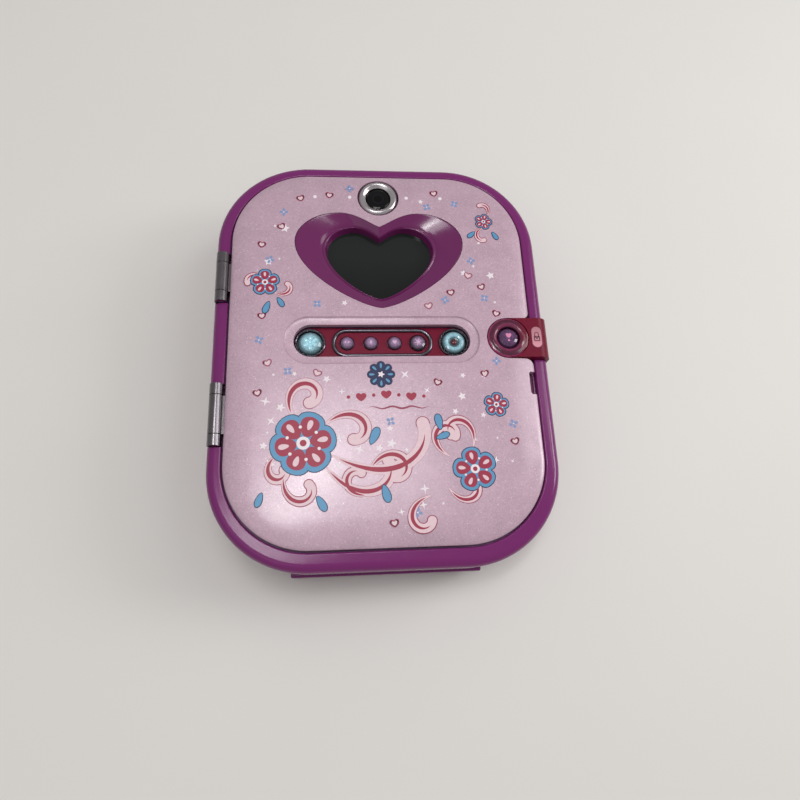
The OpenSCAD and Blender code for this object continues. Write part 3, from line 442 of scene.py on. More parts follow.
def make_finishes(colours, sizes):
    """One material for each of the record's slots, and the inks."""
    matt_skin = {"Specular IOR Level": 0.2}
    left, right = (-LARGE_KEY_X, SLOT.y), (LARGE_KEY_X, SLOT.y)
    return {
        "case_plastic": moulded("abs_satin_purple", colours.case, 0.16, **{"Specular IOR Level": 0.35}),
        "lid_plastic": pearl_plastic(colours.lid, sizes.flake / MM),
        "deck_plastic": moulded("abs_matt_lilac", colours.deck, 0.5, grain=0.5, relief=0.03),
        "bezel_plastic": polished("abs_polished_plum", colours.bezel, 0.13),
        "red_plastic": polished("abs_polished_crimson", colours.clasp, 0.26, **matt_skin),
        "plate_red": polished("abs_polished_dark_red", colours.plate, 0.2, **matt_skin),
        "clear_wine_plastic": clear_lens_ring("polycarbonate_clear_wine", colours.wine, colours.clasp),
        # The gems' stops here and below paint their light: high shares are painted highlights, low ones
        # painted shade at the edge and in the ring key's dish.
        "blue_key_plastic": cut_gem("acrylic_foiled_blue", left, colours.blue_key, (
            (0.0, 1.5), (1.4, 1.2), (3.6, 0.85), (4.6, 0.45), (LARGE_KEY_R, 0.08)
        )),
        "blue_ring": cut_gem("acrylic_foiled_teal", right, colours.blue_key, (
            (0.0, 0.08), (1.5, 0.08), (2.3, 0.3), (2.7, 0.9), (3.8, 1.1), (4.7, 0.5), (LARGE_KEY_R, 0.06)
        )),
        "blue_petal": cut_gem("acrylic_pale_blue", left, colours.blue_key, (
            (0.0, 1.6), (3.0, 1.2), (4.6, 0.8)
        )),
        "jewel_red": polished("acrylic_red_jewel", linear("5E1E2C"), 0.12),
        "purple_key_plastic": cut_gem("acrylic_foiled_violet", (SMALL_KEY_X[2], SLOT.y), colours.violet_key, (
            (0.0, 1.5), (1.1, 1.2), (1.9, 0.85), (2.6, 0.5), (3.3, 0.12)
        ), pitch=SMALL_KEY_X[1] - SMALL_KEY_X[0]),
        "button_violet": cut_gem("acrylic_foiled_dark_violet", LATCH, colours.button, (
            (0.0, 1.3), (2.6, 1.0), (4.0, 0.8), (5.1, 0.35)
        ), glitter=0.4, flake=0.7),
        "icon_plastic": printed_oval("abs_printed_rose", colours.icon),
        "chrome": metal("chrome_plated_abs", "C6BFC4", 0.2),
        # A darker chrome tone that paints in the dark reflections of the surroundings: painted reflection.
        "dark_chrome": metal("chrome_plated_abs_darkened", "6A646E", 0.16),
        "hinge_metal": metal("nickel_plated_steel", "757074", 0.22, brushed=0.3),
        "steel": metal("zinc_plated_steel", "9D9DA2", 0.32, brushed=1.0),
        "copper": metal("enamelled_copper_wire", "B5703C", 0.3, brushed=1.0),
        "screen_glass": smoked_window(colours.window),
        "camera_glass": lens_coating(),
        "board": circuit_board("glass_epoxy_green", "1E5B38"),
        "chip": moulded("epoxy_moulded_black", linear("222326"), 0.6, grain=0.2, relief=0.02),
        "lcd": moulded("glass_display_grey", linear("4A4F50"), 0.2, grain=0.8, relief=0.002),
        "white_plastic": moulded("abs_matt_white", linear("D8D7D2"), 0.5),
        "silicone": soft_rubber("silicone_moulded_grey", "9A9AA0", 0.6),
        "rubber": soft_rubber("rubber_moulded_dark", "3A343C"),
        "lead": soft_rubber("pvc_insulation_red", "9A1416", 0.45),
        "cell": cell_jacket(),
        "paper": stacked_paper(),
        "card": polished("card_laminated_rose", linear("C77A9B"), 0.3),
        "red_ink": ink("ink_crimson", colours.red_ink),
        "wine_ink": ink("ink_wine", colours.wine_ink),
        "blush_ink": ink("ink_blush", colours.blush_ink),
        "blue_ink": ink("ink_sky_blue", colours.blue_ink),
        "navy_ink": ink("ink_navy", colours.navy_ink),
        "white_ink": ink("ink_white", colours.white_ink),
        "hazy_ink": ink("ink_hazy_blue", linear("8496C2")),
        "mauve_ink": ink("ink_mauve", linear("D3B4D0")),
        "pink_ink": ink("ink_pink", linear("E08AB0")),
        "sign_ink": ink("ink_wine_grey", linear("6E3E4C")),
    }


finishes = {}


def settle(name, bm):
    """A mesh with a bmesh's shape. The bmesh is freed."""
    mesh = bpy.data.meshes.new(name)
    bm.to_mesh(mesh)
    bm.free()
    return mesh


def link_new(name, data):
    """A new object in the scene."""
    made = bpy.data.objects.new(name, data)
    bpy.context.scene.collection.objects.link(made)
    return made


def put(bm, verts, place, turn=0.0, size=(1, 1, 1)):
    """Scales vertices, turns them about the upright axis and carries them to their place."""
    bmesh.ops.scale(bm, vec=size, verts=verts)
    bmesh.ops.rotate(bm, cent=(0, 0, 0), matrix=Matrix.Rotation(turn, 3, "Z"), verts=verts)
    bmesh.ops.translate(bm, vec=place, verts=verts)


def disc_face(bm, radius, centre=(0, 0), z=0.0, corners=64):
    """A flat round face."""
    made = bmesh.ops.create_circle(bm, cap_ends=True, radius=radius, segments=corners)["verts"]
    put(bm, made, (*centre, z))
    return made[0].link_faces[0]


def rounded_face(bm, width, length, radius, centre=(0, 0), z=0.0, corners=None, steps=20):
    """A flat rectangular face with round corners; corners may give each its own radius."""
    made = bmesh.ops.create_grid(bm, x_segments=1, y_segments=1, size=0.5)["verts"]
    put(bm, made, (*centre, z), size=(width, length, 1))
    face = made[0].link_faces[0]
    for vert, offset in zip(list(made), corners or [radius] * 4):
        cut = bmesh.ops.bevel(
            bm, geom=[vert], offset=offset, segments=steps, profile=0.5, affect="VERTICES", material=-1
        )
        face = cut["verts"][0].link_faces[0]
    return face


def pill_face(bm, width, length, centre, z, steps=20):
    """A flat face with half round ends."""
    return rounded_face(bm, width, length, min(width, length) / 2 - HAIR, centre, z, steps=steps)


def heart_points(steps):
    """A heart as wide as the window's opening, round its own middle."""
    tip = Vector((0, -28))
    half = HEART_W / 2
    right = []
    for start, first, second, end, count in (
        ((0, 15.6), (4, 17.2), (11, 23.4), (19, 23.4), steps),
        ((19, 23.4), (31, 23.4), (half, 16.2), (half, 7.2), steps),
        ((half, 7.2), (half, -9.8), (10, -27.3), tip, 2 * steps),
    ):
        right += geometry.interpolate_bezier(start, first, second, end, count + 1)[:-1]
    left = [Vector((-p.x, p.y)) for p in reversed(right[1:])]
    return right + [tip] + left


def heart_face(bm, share, centre=HEART_MID, z=0.0, turn=0.0, steps=12):
    """A heart-shaped face; share is its size along X and Y against the window's opening."""
    spin = Matrix.Rotation(turn, 2)
    corners = [spin @ Vector((p.x * share[0], p.y * share[1])) + Vector(centre) for p in heart_points(steps)]
    verts = [bm.verts.new((*corner, z)) for corner in corners]
    face = bmesh.ops.contextual_create(bm, geom=verts)["faces"][0]
    if face.normal.z < 0:
        face.normal_flip()
    return face


def star_face(bm, radius, tips, waist, centre, z, turn=0.0):
    """A flat star; waist is the share of the radius between two tips."""
    face = disc_face(bm, radius, corners=2 * tips)
    for vert in list(face.verts)[::2]:
        vert.co *= waist
    put(bm, face.verts[:], (*centre, z), turn)
    return face


def rise(bm, face, steps):
    """Carries a face through steps of inset and lift, and leaves a wall behind it at each."""
    for inset, lift in steps:
        bmesh.ops.inset_individual(bm, faces=[face], thickness=inset, use_even_offset=True)
        bmesh.ops.translate(bm, vec=(0, 0, lift), verts=face.verts[:])
    return face


def rounding(width, height, count):
    """Steps of a quarter round, from an upright wall to a level top."""
    angles = [math.pi / 2 * i / count for i in range(count + 1)]
    return [
        (width * (math.cos(a) - math.cos(b)), height * (math.sin(b) - math.sin(a)))
        for a, b in zip(angles, angles[1:])
    ]


def close(bm):
    """Closes open ends with a face."""
    bmesh.ops.holes_fill(bm, edges=[e for e in bm.edges if e.is_boundary], sides=0)
    return bm


def hollow(bm, inner):
    """Takes a ring's inner face out, and joins the two edges that are then open."""
    bmesh.ops.delete(bm, geom=[inner], context="FACES")
    bmesh.ops.bridge_loops(bm, edges=[e for e in bm.edges if e.is_boundary])


def prism(low, high, draw, *sizes, **more):
    """A straight closed block from low to high, over the outline that draw makes."""
    bm = bmesh.new()
    rise(bm, draw(bm, *sizes, z=low, **more), [(0, high - low)])
    return close(bm)


def lathe(bm, centre, profile, base=0.0, steps=72):
    """Turns a profile round an upright axis. Its points are a radius and a height over the base."""
    verts = [bm.verts.new((centre[0] + r, centre[1], base + z)) for r, z in profile]
    edges = [bm.edges.new(pair) for pair in zip(verts, verts[1:])]
    bmesh.ops.spin(
        bm, geom=verts + edges, cent=(*centre, 0), axis=(0, 0, 1), dvec=(0, 0, 0),
        angle=2 * math.pi, steps=steps, use_merge=True
    )
    bmesh.ops.remove_doubles(bm, verts=bm.verts[:], dist=0.001)
    return bm


def carve(bm, blocks, operation="DIFFERENCE"):
    """Cuts blocks out of a solid, or crosses it with them. All that go in are freed."""
    held = []
    for block in [bm] + blocks:
        bmesh.ops.recalc_face_normals(block, faces=block.faces[:])
        held.append(link_new("block", settle("block", block)))
    body = held[0]
    for other in held[1:]:
        work = body.modifiers.new("carve", "BOOLEAN")
        work.operation = operation
        work.solver = "EXACT"
        work.object = other
    bpy.context.view_layer.update()
    result = bmesh.new()
    result.from_mesh(body.evaluated_get(bpy.context.evaluated_depsgraph_get()).to_mesh())
    for made in held:
        mesh = made.data
        bpy.data.objects.remove(made)
        bpy.data.meshes.remove(mesh)
    bmesh.ops.remove_doubles(result, verts=result.verts[:], dist=0.0005)
    bmesh.ops.dissolve_limit(
        result, angle_limit=math.radians(0.4), verts=result.verts[:], edges=result.edges[:]
    )
    return result


def soften(bm, offset, where=None, angle=40, steps=3):
    """Rounds the sharp edges whose middle passes the where test."""
    chosen = []
    for edge in bm.edges:
        if len(edge.link_faces) == 2 and edge.calc_face_angle(0) > math.radians(angle):
            middle = (edge.verts[0].co + edge.verts[1].co) / 2
            if where is None or where(middle):
                chosen.append(edge)
    bmesh.ops.bevel(
        bm, geom=chosen, offset=offset, segments=steps, profile=0.5, affect="EDGES", material=-1,
        clamp_overlap=True
    )
    return bm


def copied(node):
    """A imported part's mesh in millimetres, merged, with its flat faces whole."""
    bm = bmesh.new()
    bm.from_mesh(frame["nodes"][node].data)
    bmesh.ops.scale(bm, vec=(1 / MM, 1 / MM, 1 / MM), verts=bm.verts[:])
    bmesh.ops.remove_doubles(bm, verts=bm.verts[:], dist=0.002)
    bmesh.ops.dissolve_limit(bm, angle_limit=math.radians(0.3), verts=bm.verts[:], edges=bm.edges[:])
    return bm


def finish_piece(name, bm, finish, body, replaced=None, crease=32, turn_out=True):
    """Makes a bmesh a finished piece: shaded, given its material, and riding on its body."""
    bmesh.ops.remove_doubles(bm, verts=bm.verts[:], dist=0.0005)
    if turn_out:
        bmesh.ops.recalc_face_normals(bm, faces=bm.faces[:])
    for face in bm.faces:
        face.smooth = True
    for edge in bm.edges:
        edge.smooth = len(edge.link_faces) == 2 and edge.calc_face_angle(0) < math.radians(crease)
    bmesh.ops.scale(bm, vec=(MM, MM, MM), verts=bm.verts[:])
    mesh = settle(name, bm)
    mesh.materials.append(finishes[finish])
    piece = link_new(name, mesh)
    piece.modifiers.new("even_shading", "WEIGHTED_NORMAL").keep_sharp = True
    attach(piece, body)
    if replaced:
        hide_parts(replaced)


def dress(name, node, finish, offset=0, where=None, slot=None, **way):
    """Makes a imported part's own mesh a finished piece, with some of its edges rounded."""
    bm = copied(node)
    if offset:
        soften(bm, offset, where, **way)
    finish_piece(name, bm, finish, frame["nodes"][node]["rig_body"], node, turn_out=False)


def latch_outline(bm, grow, end_x, z):
    """The clasp's outline: a half round on the left, straight to the right."""
    width = end_x - LATCH.x + LATCH_R + grow
    length = 2 * LATCH_R + 2 * grow
    left, right = length / 2 - HAIR, 0.05
    centre = (end_x - width / 2, LATCH.y)
    return rounded_face(bm, width, length, 0, centre, z, corners=(left, right, left, right), steps=28)


def lid_openings(grow, low, high):
    """Blocks for everything that is cut through the lid."""
    slot_size = (SLOT_W + 2 * grow, SLOT_L + 2 * grow)
    heart_share = (1 + 2 * grow / HEART_W, 1 + 2 * grow / HEART_L)
    notch_x, notch_w, notch_l, notch_corner = 75, 16, 11, 1.2
    outside_x = 84
    return [
        prism(low, high, heart_face, heart_share),
        prism(low, high, disc_face, CAMERA_OPENING + grow, CAMERA),
        prism(low, high, pill_face, *slot_size, SLOT),
        prism(low, high, latch_outline, LATCH_GAP + grow, outside_x),
        prism(low, high, rounded_face, notch_w, notch_l + 2 * grow, notch_corner, (notch_x - grow, NOTCH_Y)),
    ]


# Name, place and size in metres, and power in watts of each lamp.
LAMPS = (
    ("sky_light", (-0.6, -0.5, 1.1), (0.9, 0.7), 0.8),
    ("high_window", (-0.24, -0.02, 1.1), (0.18, 0.13), 0.7),
    ("wide_window", (-0.01, 0.19, 1.1), (0.34, 0.26), 1.6),
    ("near_pane", (-0.105, 0.048, 1.05), (0.23, 0.033), 0.4),
    ("far_pane", (-0.105, 0.11, 1.05), (0.23, 0.033), 0.4),
    ("wall_light", (0.9, 0.42, 1.0), (0.36, 0.95), 3.2),
    ("side_light", (1.0, 0.1, 0.6), (0.3, 0.4), 3.0),
)


class DIARY_OT_stage(Operator):
    """Makes the floor, the lights and the camera"""
    bl_idname = "diary.stage"
    bl_label = "Stage"

    def execute(self, context):
        self.floor()
        for lamp in LAMPS:
            self.light(*lamp)
        self.world(context.scene)
        context.scene.camera = self.camera()
        context.scene.view_settings.view_transform = "Standard"
        return {"FINISHED"}

    def floor(self):
        """A plain pale floor of matt paint, faintly clouded."""
        bm = bmesh.new()
        bmesh.ops.create_grid(bm, x_segments=1, y_segments=1, size=3.0)
        mesh = settle("floor", bm)
        link_new("floor", mesh)
        paint = Finish("paint_matt_pale", {"Roughness": 0.7})
        paint.vary(paint.noise(120, 3), linear("E3E0DC"), 0.02)
        mesh.materials.append(paint.material)

    def light(self, name, place, size, power):
        """A rectangular lamp that faces the diary."""
        data = bpy.data.lights.new(name, "AREA")
        data.shape = "RECTANGLE"
        data.size, data.size_y = size
        data.energy = power
        lamp = link_new(name, data)
        lamp.location = place
        lamp.rotation_euler = (-Vector(place)).to_track_quat("-Z", "Y").to_euler()

    def world(self, scene):
        """Even pale surroundings, which fill the shadows."""
        scene.world = bpy.data.worlds.new("studio")
        scene.world.use_nodes = True
        back = scene.world.node_tree.nodes["Background"]
        back.inputs["Color"].default_value = rgba(linear("F4F3F1"))
        back.inputs["Strength"].default_value = 0.45

    def camera(self):
        """The photograph's view: hand-held above the drawer side, looking down."""
        data = bpy.data.cameras.new("camera")
        data.sensor_fit = "HORIZONTAL"
        data.sensor_width = 36
        data.lens = 27
        data.clip_start = 0.01
        made = link_new("camera", data)
        pitch, yaw, roll = -0.300278, 0.0986758, 0.0436893
        turn = Matrix.Rotation(roll, 3, "Z") @ Matrix.Rotation(pitch, 3, "X") @ Matrix.Rotation(yaw, 3, "Y")
        place = Matrix.Translation(Vector((-18.608, -105.202, 298.45)) * MM)
        made.matrix_world = place @ turn.transposed().to_4x4()
        return made


class DIARY_OT_packed_parts(Operator):
    """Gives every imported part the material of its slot"""
    bl_idname = "diary.packed_parts"
    bl_label = "Packed parts"

    def execute(self, context):
        for part in frame["nodes"].values():
            slot = part.data.materials[0].name.split(".")[0]
            part.data.materials[0] = finishes[slot]
        return {"FINISHED"}


class DIARY_OT_case(Operator):
    """Makes the case halves, the drawer's front, the battery door and the feet"""
    bl_idname = "diary.case"
    bl_label = "Case"

    def execute(self, context):
        soft = context.scene.diary_sizes.soft_edge / MM
        purple = "case_plastic"
        inner_x = 71.5
        dress(
            "rim_frame", "top_frame", purple, 2 * soft,
            lambda p: p.z > RIM_Z - 0.1 and abs(p.x) < inner_x, steps=5
        )
        dress("lower_case", "bottom_case", purple)
        dress("drawer_face", "drawer_front", purple, 1.0)
        dress("battery_cover", "battery_door", purple, 0.25)
        dress("foot_pads", "rubber_feet", "rubber", 0.5)
        return {"FINISHED"}


class DIARY_OT_lid(Operator):
    """Makes the pearl lid, with its openings, its recess and its hollow inside"""
    bl_idname = "diary.lid"
    bl_label = "Lid"

    def execute(self, context):
        sizes = context.scene.diary_sizes
        width, height = sizes.pillow_width / MM, sizes.pillow_height / MM
        low, top = LID_LOW.z, LID_HIGH.z
        plate_z = top - LID_WALL
        # Thickness of the walls that are left round the openings.
        collar = 1.6
        bm = bmesh.new()
        base = rounded_face(bm, LID_W, LID_L, LID_CORNER, LID_MID, low, steps=28)
        rise(bm, base, [(0, top - height - low)] + rounding(width, height, 12))
        close(bm)
        inside = carve(
            prism(
                low - 1, plate_z, rounded_face, LID_W - 2 * LID_WALL, LID_L - 2 * LID_WALL,
                LID_CORNER - LID_WALL, LID_MID
            ),
            lid_openings(collar, low + collar, top + 1)
        )
        cutters = [inside, self.recess(top)] + lid_openings(0, low - 2, top + 2)
        cutters += [self.clasp_corner(side, low, top) for side in (-1, 1)]
        leaf_w, leaf_x, leaf_gap = 7, -68.5, 0.6
        for near, far in HINGES:
            leaf_l, leaf_y = far - near + leaf_gap, (near + far) / 2
            cutters.append(prism(low - 1, plate_z, rounded_face, leaf_w, leaf_l, 0.1, (leaf_x, leaf_y)))
        shell = carve(bm, cutters)
        soften(shell, sizes.soft_edge / MM, lambda p: p.z > top - height - 0.1)
        finish_piece("lid_cover", shell, "lid_plastic", "lid", "lid_shell", crease=30)
        return {"FINISHED"}

    def recess(self, top):
        """The shallow dish round the key slot."""
        width, length, corner = 90, 23.3, 11
        bm = bmesh.new()
        dish = rounded_face(bm, width, length, corner, SLOT, top + 1)
        rise(bm, dish, [(0, -1), (0.1, -0.25), (0.3, -0.3), (0.5, -0.2), (1.4, -0.08), (0.9, -0.05)])
        return close(bm)

    def clasp_corner(self, side, low, top):
        """What is cut away to round the lid's corner on one side of the clasp."""
        radius = 4
        edge_x, edge_y = LID_W / 2, LATCH_R + LATCH_GAP
        middle = (edge_x - radius / 2 + 0.5, LATCH.y + side * (edge_y + radius / 2 - 0.05))
        round_at = (edge_x - radius, LATCH.y + side * (edge_y + radius))
        block = prism(low - 1, top + 1, rounded_face, radius + 1, radius, 0.1, middle)
        return carve(block, [prism(low - 2, top + 2, disc_face, radius, round_at)])


# Share of the way from the opening's edge to the glass, and the depth under the funnel's top there.
FUNNEL = (
    (0.0, 0.45), (0.006, 0.12), (0.02, 0), (0.05, 0.07), (0.1, 0.22), (0.25, 0.69), (0.4, 1.16), (0.55, 1.63),
    (0.68, 2.04), (0.74, 2.28), (0.79, 2.55), (0.82, 2.78), (0.84, 2.9), (0.855, 2.85), (0.87, 2.66),
    (0.89, 2.5), (0.91, 2.47), (0.93, 2.58), (0.943, 2.8), (0.953, 3.3), (0.965, 4.4)
)


class DIARY_OT_window(Operator):
    """Makes the heart-shaped funnel round the screen"""
    bl_idname = "diary.window"
    bl_label = "Heart window"

    def execute(self, context):
        top, bottom = LID_HIGH.z - 0.1, DECK_Z + 0.01
        outer, inner = Vector((0.997, 0.9954)), Vector((0.622, 0.735))
        # The glass sits a little nearer to the keys than the opening's middle.
        shift = -1.0
        bm = bmesh.new()
        face = heart_face(bm, outer, z=bottom)
        share = outer.copy()
        centre = HEART_MID.to_3d()
        place = Vector((0, 0, bottom))
        for part, height in [(part, top - depth) for part, depth in FUNNEL] + [(1.0, bottom)]:
            wanted = outer.lerp(inner, part)
            goal = Vector((0, shift * part, height))
            bmesh.ops.inset_individual(bm, faces=[face], thickness=0, use_even_offset=True)
            bmesh.ops.scale(
                bm, vec=(wanted.x / share.x, wanted.y / share.y, 1), verts=face.verts[:],
                space=Matrix.Translation(-centre - Vector((0, place.y, 0)))
            )
            bmesh.ops.translate(bm, vec=goal - place, verts=face.verts[:])
            share, place = wanted, goal
        hollow(bm, face)
        finish_piece("heart_funnel", bm, "bezel_plastic", "case", "heart_bezel", crease=50)
        return {"FINISHED"}


class DIARY_OT_camera_eye(Operator):
    """Makes the camera's bright ring and its lens"""
    bl_idname = "diary.camera_eye"
    bl_label = "Camera"

    def execute(self, context):
        ring = lathe(bmesh.new(), CAMERA, (
            (4.8, 2.3), (4.8, 0), (9.7, 0), (9.7, 5.3), (9.6, 5.7), (9.3, 6.15), (8.9, 6.55), (8.5, 6.8),
            (8.1, 6.88), (7.7, 6.8), (7.3, 6.6), (6.9, 6.35), (6.5, 6.1), (6.2, 5.85), (6.05, 5.5),
            (6.05, 2.3), (4.8, 2.3)
        ), DECK_Z)
        finish_piece("camera_bezel", ring, "chrome", "case", "camera_ring")
        radius, foot, edge, bulge, count = 6.0, 2.4, 4.9, 0.9, 10
        arch = [math.pi / 2 * i / count for i in range(count + 1)]
        curve = [(radius * math.sin(a), edge + bulge * math.cos(a)) for a in arch]
        dome = lathe(bmesh.new(), CAMERA, curve + [(radius, foot), (0, foot)], DECK_Z)
        finish_piece("camera_dome", dome, "camera_glass", "case", "camera_lens")
        return {"FINISHED"}


def gem(centre, radius, low, top, corners, table):
    """A cut stone: an upright girdle, a ring of facets, and a flat table on top."""
    bm = bmesh.new()
    waist = 0.84
    height = top - low
    face = disc_face(bm, radius, centre, low, corners)
    rise(bm, face, [(0, height * 0.45)])
    for size, turn, lift in ((waist, math.pi / corners, 0.35), (table / waist, 0, 0.2)):
        bmesh.ops.inset_individual(bm, faces=[face], thickness=0, use_even_offset=True)
        verts = face.verts[:]
        put(bm, verts, (-centre[0], -centre[1], 0))
        put(bm, verts, (*centre, height * lift), turn, (size, size, 1))
    close(bm)
    bmesh.ops.triangulate(bm, faces=[f for f in bm.faces if len(f.verts) == 4])
    return bm


def bead(bm, size, place, turn=0.0):
    """A small flattened bead, such as a petal or a dot."""
    made = bmesh.ops.create_uvsphere(bm, u_segments=16, v_segments=8, radius=1)["verts"]
    put(bm, made, place, turn, size)


def beads_round(bm, count, reach, centre, z, size, first=0.0, turned=False):
    """A ring of beads; turned ones point outwards, as petals do."""
    for i in range(count):
        angle = first + 2 * math.pi * i / count
        place = (centre[0] + reach * math.cos(angle), centre[1] + reach * math.sin(angle), z)
        bead(bm, size, place, angle if turned else 0)


class DIARY_OT_key_panel(Operator):
    """Makes the red plate, the bright trim, the large keys' frames and a dark pad at the finger notch that
    paints its shade
    """
    bl_idname = "diary.key_panel"
    bl_label = "Key panel"

    def execute(self, context):
        self.plate()
        self.trim()
        self.frames()
        self.inlay()
        return {"FINISHED"}

    def plate(self):
        """The red plate, with a hole for each key."""
        width, length, frame_hole, key_gap = 81.2, 15.5, 7.15, 0.25
        holes = [(side * LARGE_KEY_X, frame_hole, 64) for side in (-1, 1)]
        holes += [(x, small_key_radius(i) + key_gap, 48) for i, x in enumerate(SMALL_KEY_X)]
        cutters = [
            prism(DECK_Z - 1, DECK_Z + 4, disc_face, radius, (x, SLOT.y), corners=corners)
            for x, radius, corners in holes
        ]
        body = prism(DECK_Z, box_mm("key_trim")[0].z, pill_face, width, length, SLOT)
        plate = soften(carve(body, cutters), 0.2, lambda p: p.z > DECK_Z + 2)
        finish_piece("key_plate_red", plate, "plate_red", "case", "key_plate")

    def inlay(self):
        """A small dark raised pad on the deck, seen through the lid's finger notch, whose colour paints the
        shade in the notch's depth.
        """
        width, length, corner, x = 7.5, 17.5, 1.5, 67.6
        bm = bmesh.new()
        pad = rounded_face(bm, width, length, corner, (x, NOTCH_Y), DECK_Z)
        rise(bm, pad, [(0, 0.5)] + rounding(0.3, 0.3, 3) + [(0.8, -0.4)])
        finish_piece("finger_notch_shade_pad", close(bm), "bezel_plastic", "case")

    def trim(self):
        """A bright pill-shaped ring round the small keys, its chrome darkened as a painted reflection."""
        low, high = (corner.z for corner in box_mm("key_trim"))
        width, length, corner, wall, line = 47.0, 14.2, 6.8, 0.3, 0.9
        bm = bmesh.new()
        outer = rounded_face(bm, width, length, corner, SLOT, low)
        up = rounding(line, high - low - wall, 4)
        down = [(inset, -lift) for inset, lift in reversed(up)]
        hollow(bm, rise(bm, outer, [(0, wall)] + up + down + [(0, -wall)]))
        finish_piece("key_trim_ring", bm, "dark_chrome", "case", "key_trim")

    def frames(self):
        """Bright rings with a row of beads round the large keys, their chrome darkened as a painted
        reflection.
        """
        beads, reach, crest = 18, 6.35, 3.3
        bm = bmesh.new()
        for side in (-1, 1):
            centre = (side * LARGE_KEY_X, SLOT.y)
            lathe(bm, centre, (
                (5.0, 0.3), (5.0, 0), (7.1, 0), (7.1, 2.7), (7.0, 3.1), (6.75, crest), (6.5, crest),
                (6.2, 3.1), (5.98, 2.8), (5.95, 0.3), (5.0, 0.3)
            ), DECK_Z)
            beads_round(bm, beads, reach, centre, DECK_Z + crest, (0.42, 0.42, 0.4))
        finish_piece("large_key_frames", bm, "dark_chrome", "case", "key_frames")


def small_key_radius(i):
    """Radius of a small key's gem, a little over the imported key's."""
    low, high = box_mm(f"number_key_{i + 1}")
    return (high.x - low.x) / 2 + 0.1


def add_stem(bm, node, centre, radius, cap, flange=0.0):
    """Adds the stem that carries a key's gem, with a flange at its foot."""
    flange_h, overlap = 0.8, 0.2
    low = box_mm(node)[0].z
    reach, over, top = radius + flange, low + flange_h, cap + overlap
    foot = [(reach, low), (reach, over), (radius, over)] if flange else [(radius, low)]
    mesh = settle("stem", lathe(bmesh.new(), centre, [(0, low)] + foot + [(radius, top), (0, top)], steps=32))
    bm.from_mesh(mesh)
    bpy.data.meshes.remove(mesh)


class DIARY_OT_large_keys(Operator):
    """Makes the two large blue keys, one with a flower and one with a ring"""
    bl_idname = "diary.large_keys"
    bl_label = "Large keys"

    def execute(self, context):
        self.flower_key((-LARGE_KEY_X, SLOT.y), box_mm("left_key")[1].z)
        self.ring_key((LARGE_KEY_X, SLOT.y), box_mm("right_key")[1].z)
        return {"FINISHED"}

    def key(self, bm, node, centre, finish, body):
        """Gives a large key's gem its stem, and finishes it."""
        add_stem(bm, node, centre, 3.4, CAP_Z, flange=1)
        finish_piece(node + "_gem", bm, finish, body, node, crease=12)

    def flower_key(self, centre, top):
        """A faceted gem under a flower of six petals."""
        bm = gem(centre, LARGE_KEY_R, CAP_Z, top - 0.35, 14, 0.72)
        self.key(bm, "left_key", centre, "blue_key_plastic", "key_left")
        bm = bmesh.new()
        z = top - 0.42
        beads_round(bm, 6, 2.35, centre, z, (1.6, 1.0, 0.38), math.pi / 6, turned=True)
        bead(bm, (0.75, 0.75, 0.42), (*centre, z))
        finish_piece("flower_emblem", bm, "blue_petal", "key_left")

    def ring_key(self, centre, top):
        """A cut ring round a shallow dish with a red jewel."""
        dish = top - 1.1
        bm = lathe(bmesh.new(), centre, (
            (0, CAP_Z), (LARGE_KEY_R, CAP_Z), (LARGE_KEY_R, CAP_Z + 1.3), (5.2, top - 0.75),
            (4.6, top - 0.35), (3.7, top - 0.12), (2.8, top - 0.4), (2.3, top - 1.0), (1.5, dish), (0, dish)
        ), steps=26)
        self.key(bm, "right_key", centre, "blue_ring", "key_right")
        bm = bmesh.new()
        bead(bm, (1.4, 1.4, 0.6), (*centre, dish))
        finish_piece("ring_emblem_centre", bm, "jewel_red", "key_right")


class DIARY_OT_small_keys(Operator):
    """Makes the four small violet keys with their marks"""
    bl_idname = "diary.small_keys"
    bl_label = "Small keys"

    def execute(self, context):
        for i, x in enumerate(SMALL_KEY_X):
            node, body = f"number_key_{i + 1}", f"key_{i + 1}"
            top = box_mm(node)[1].z
            centre = (x, SLOT.y)
            bm = gem(centre, small_key_radius(i), CAP_Z, top - 0.15, 12, 0.6)
            add_stem(bm, node, centre, 2.1, CAP_Z, flange=1)
            finish_piece(node + "_gem", bm, "purple_key_plastic", body, node, crease=12)
            self.mark(i, centre, top - 0.16, body)
        return {"FINISHED"}

    def mark(self, i, centre, z, body):
        """A plain mark on each key: two dots, a lozenge, a heart and a star."""
        bm = bmesh.new()
        if i == 0:
            faces = [disc_face(bm, 0.42, (centre[0] + d, centre[1]), z, 16) for d in (-0.75, 0.75)]
        elif i == 1:
            faces = [star_face(bm, 1.2, 2, 0.5, centre, z, math.pi / 2)]
        elif i == 2:
            faces = [heart_face(bm, (0.024, 0.033), centre, z, steps=5)]
        else:
            faces = [star_face(bm, 2.3, 6, 0.24, centre, z, math.pi / 12)]
        for face in faces:
            rise(bm, face, [(0, 0.1)])
        finish_piece(f"number_key_{i + 1}_mark", close(bm), "mauve_ink", body)


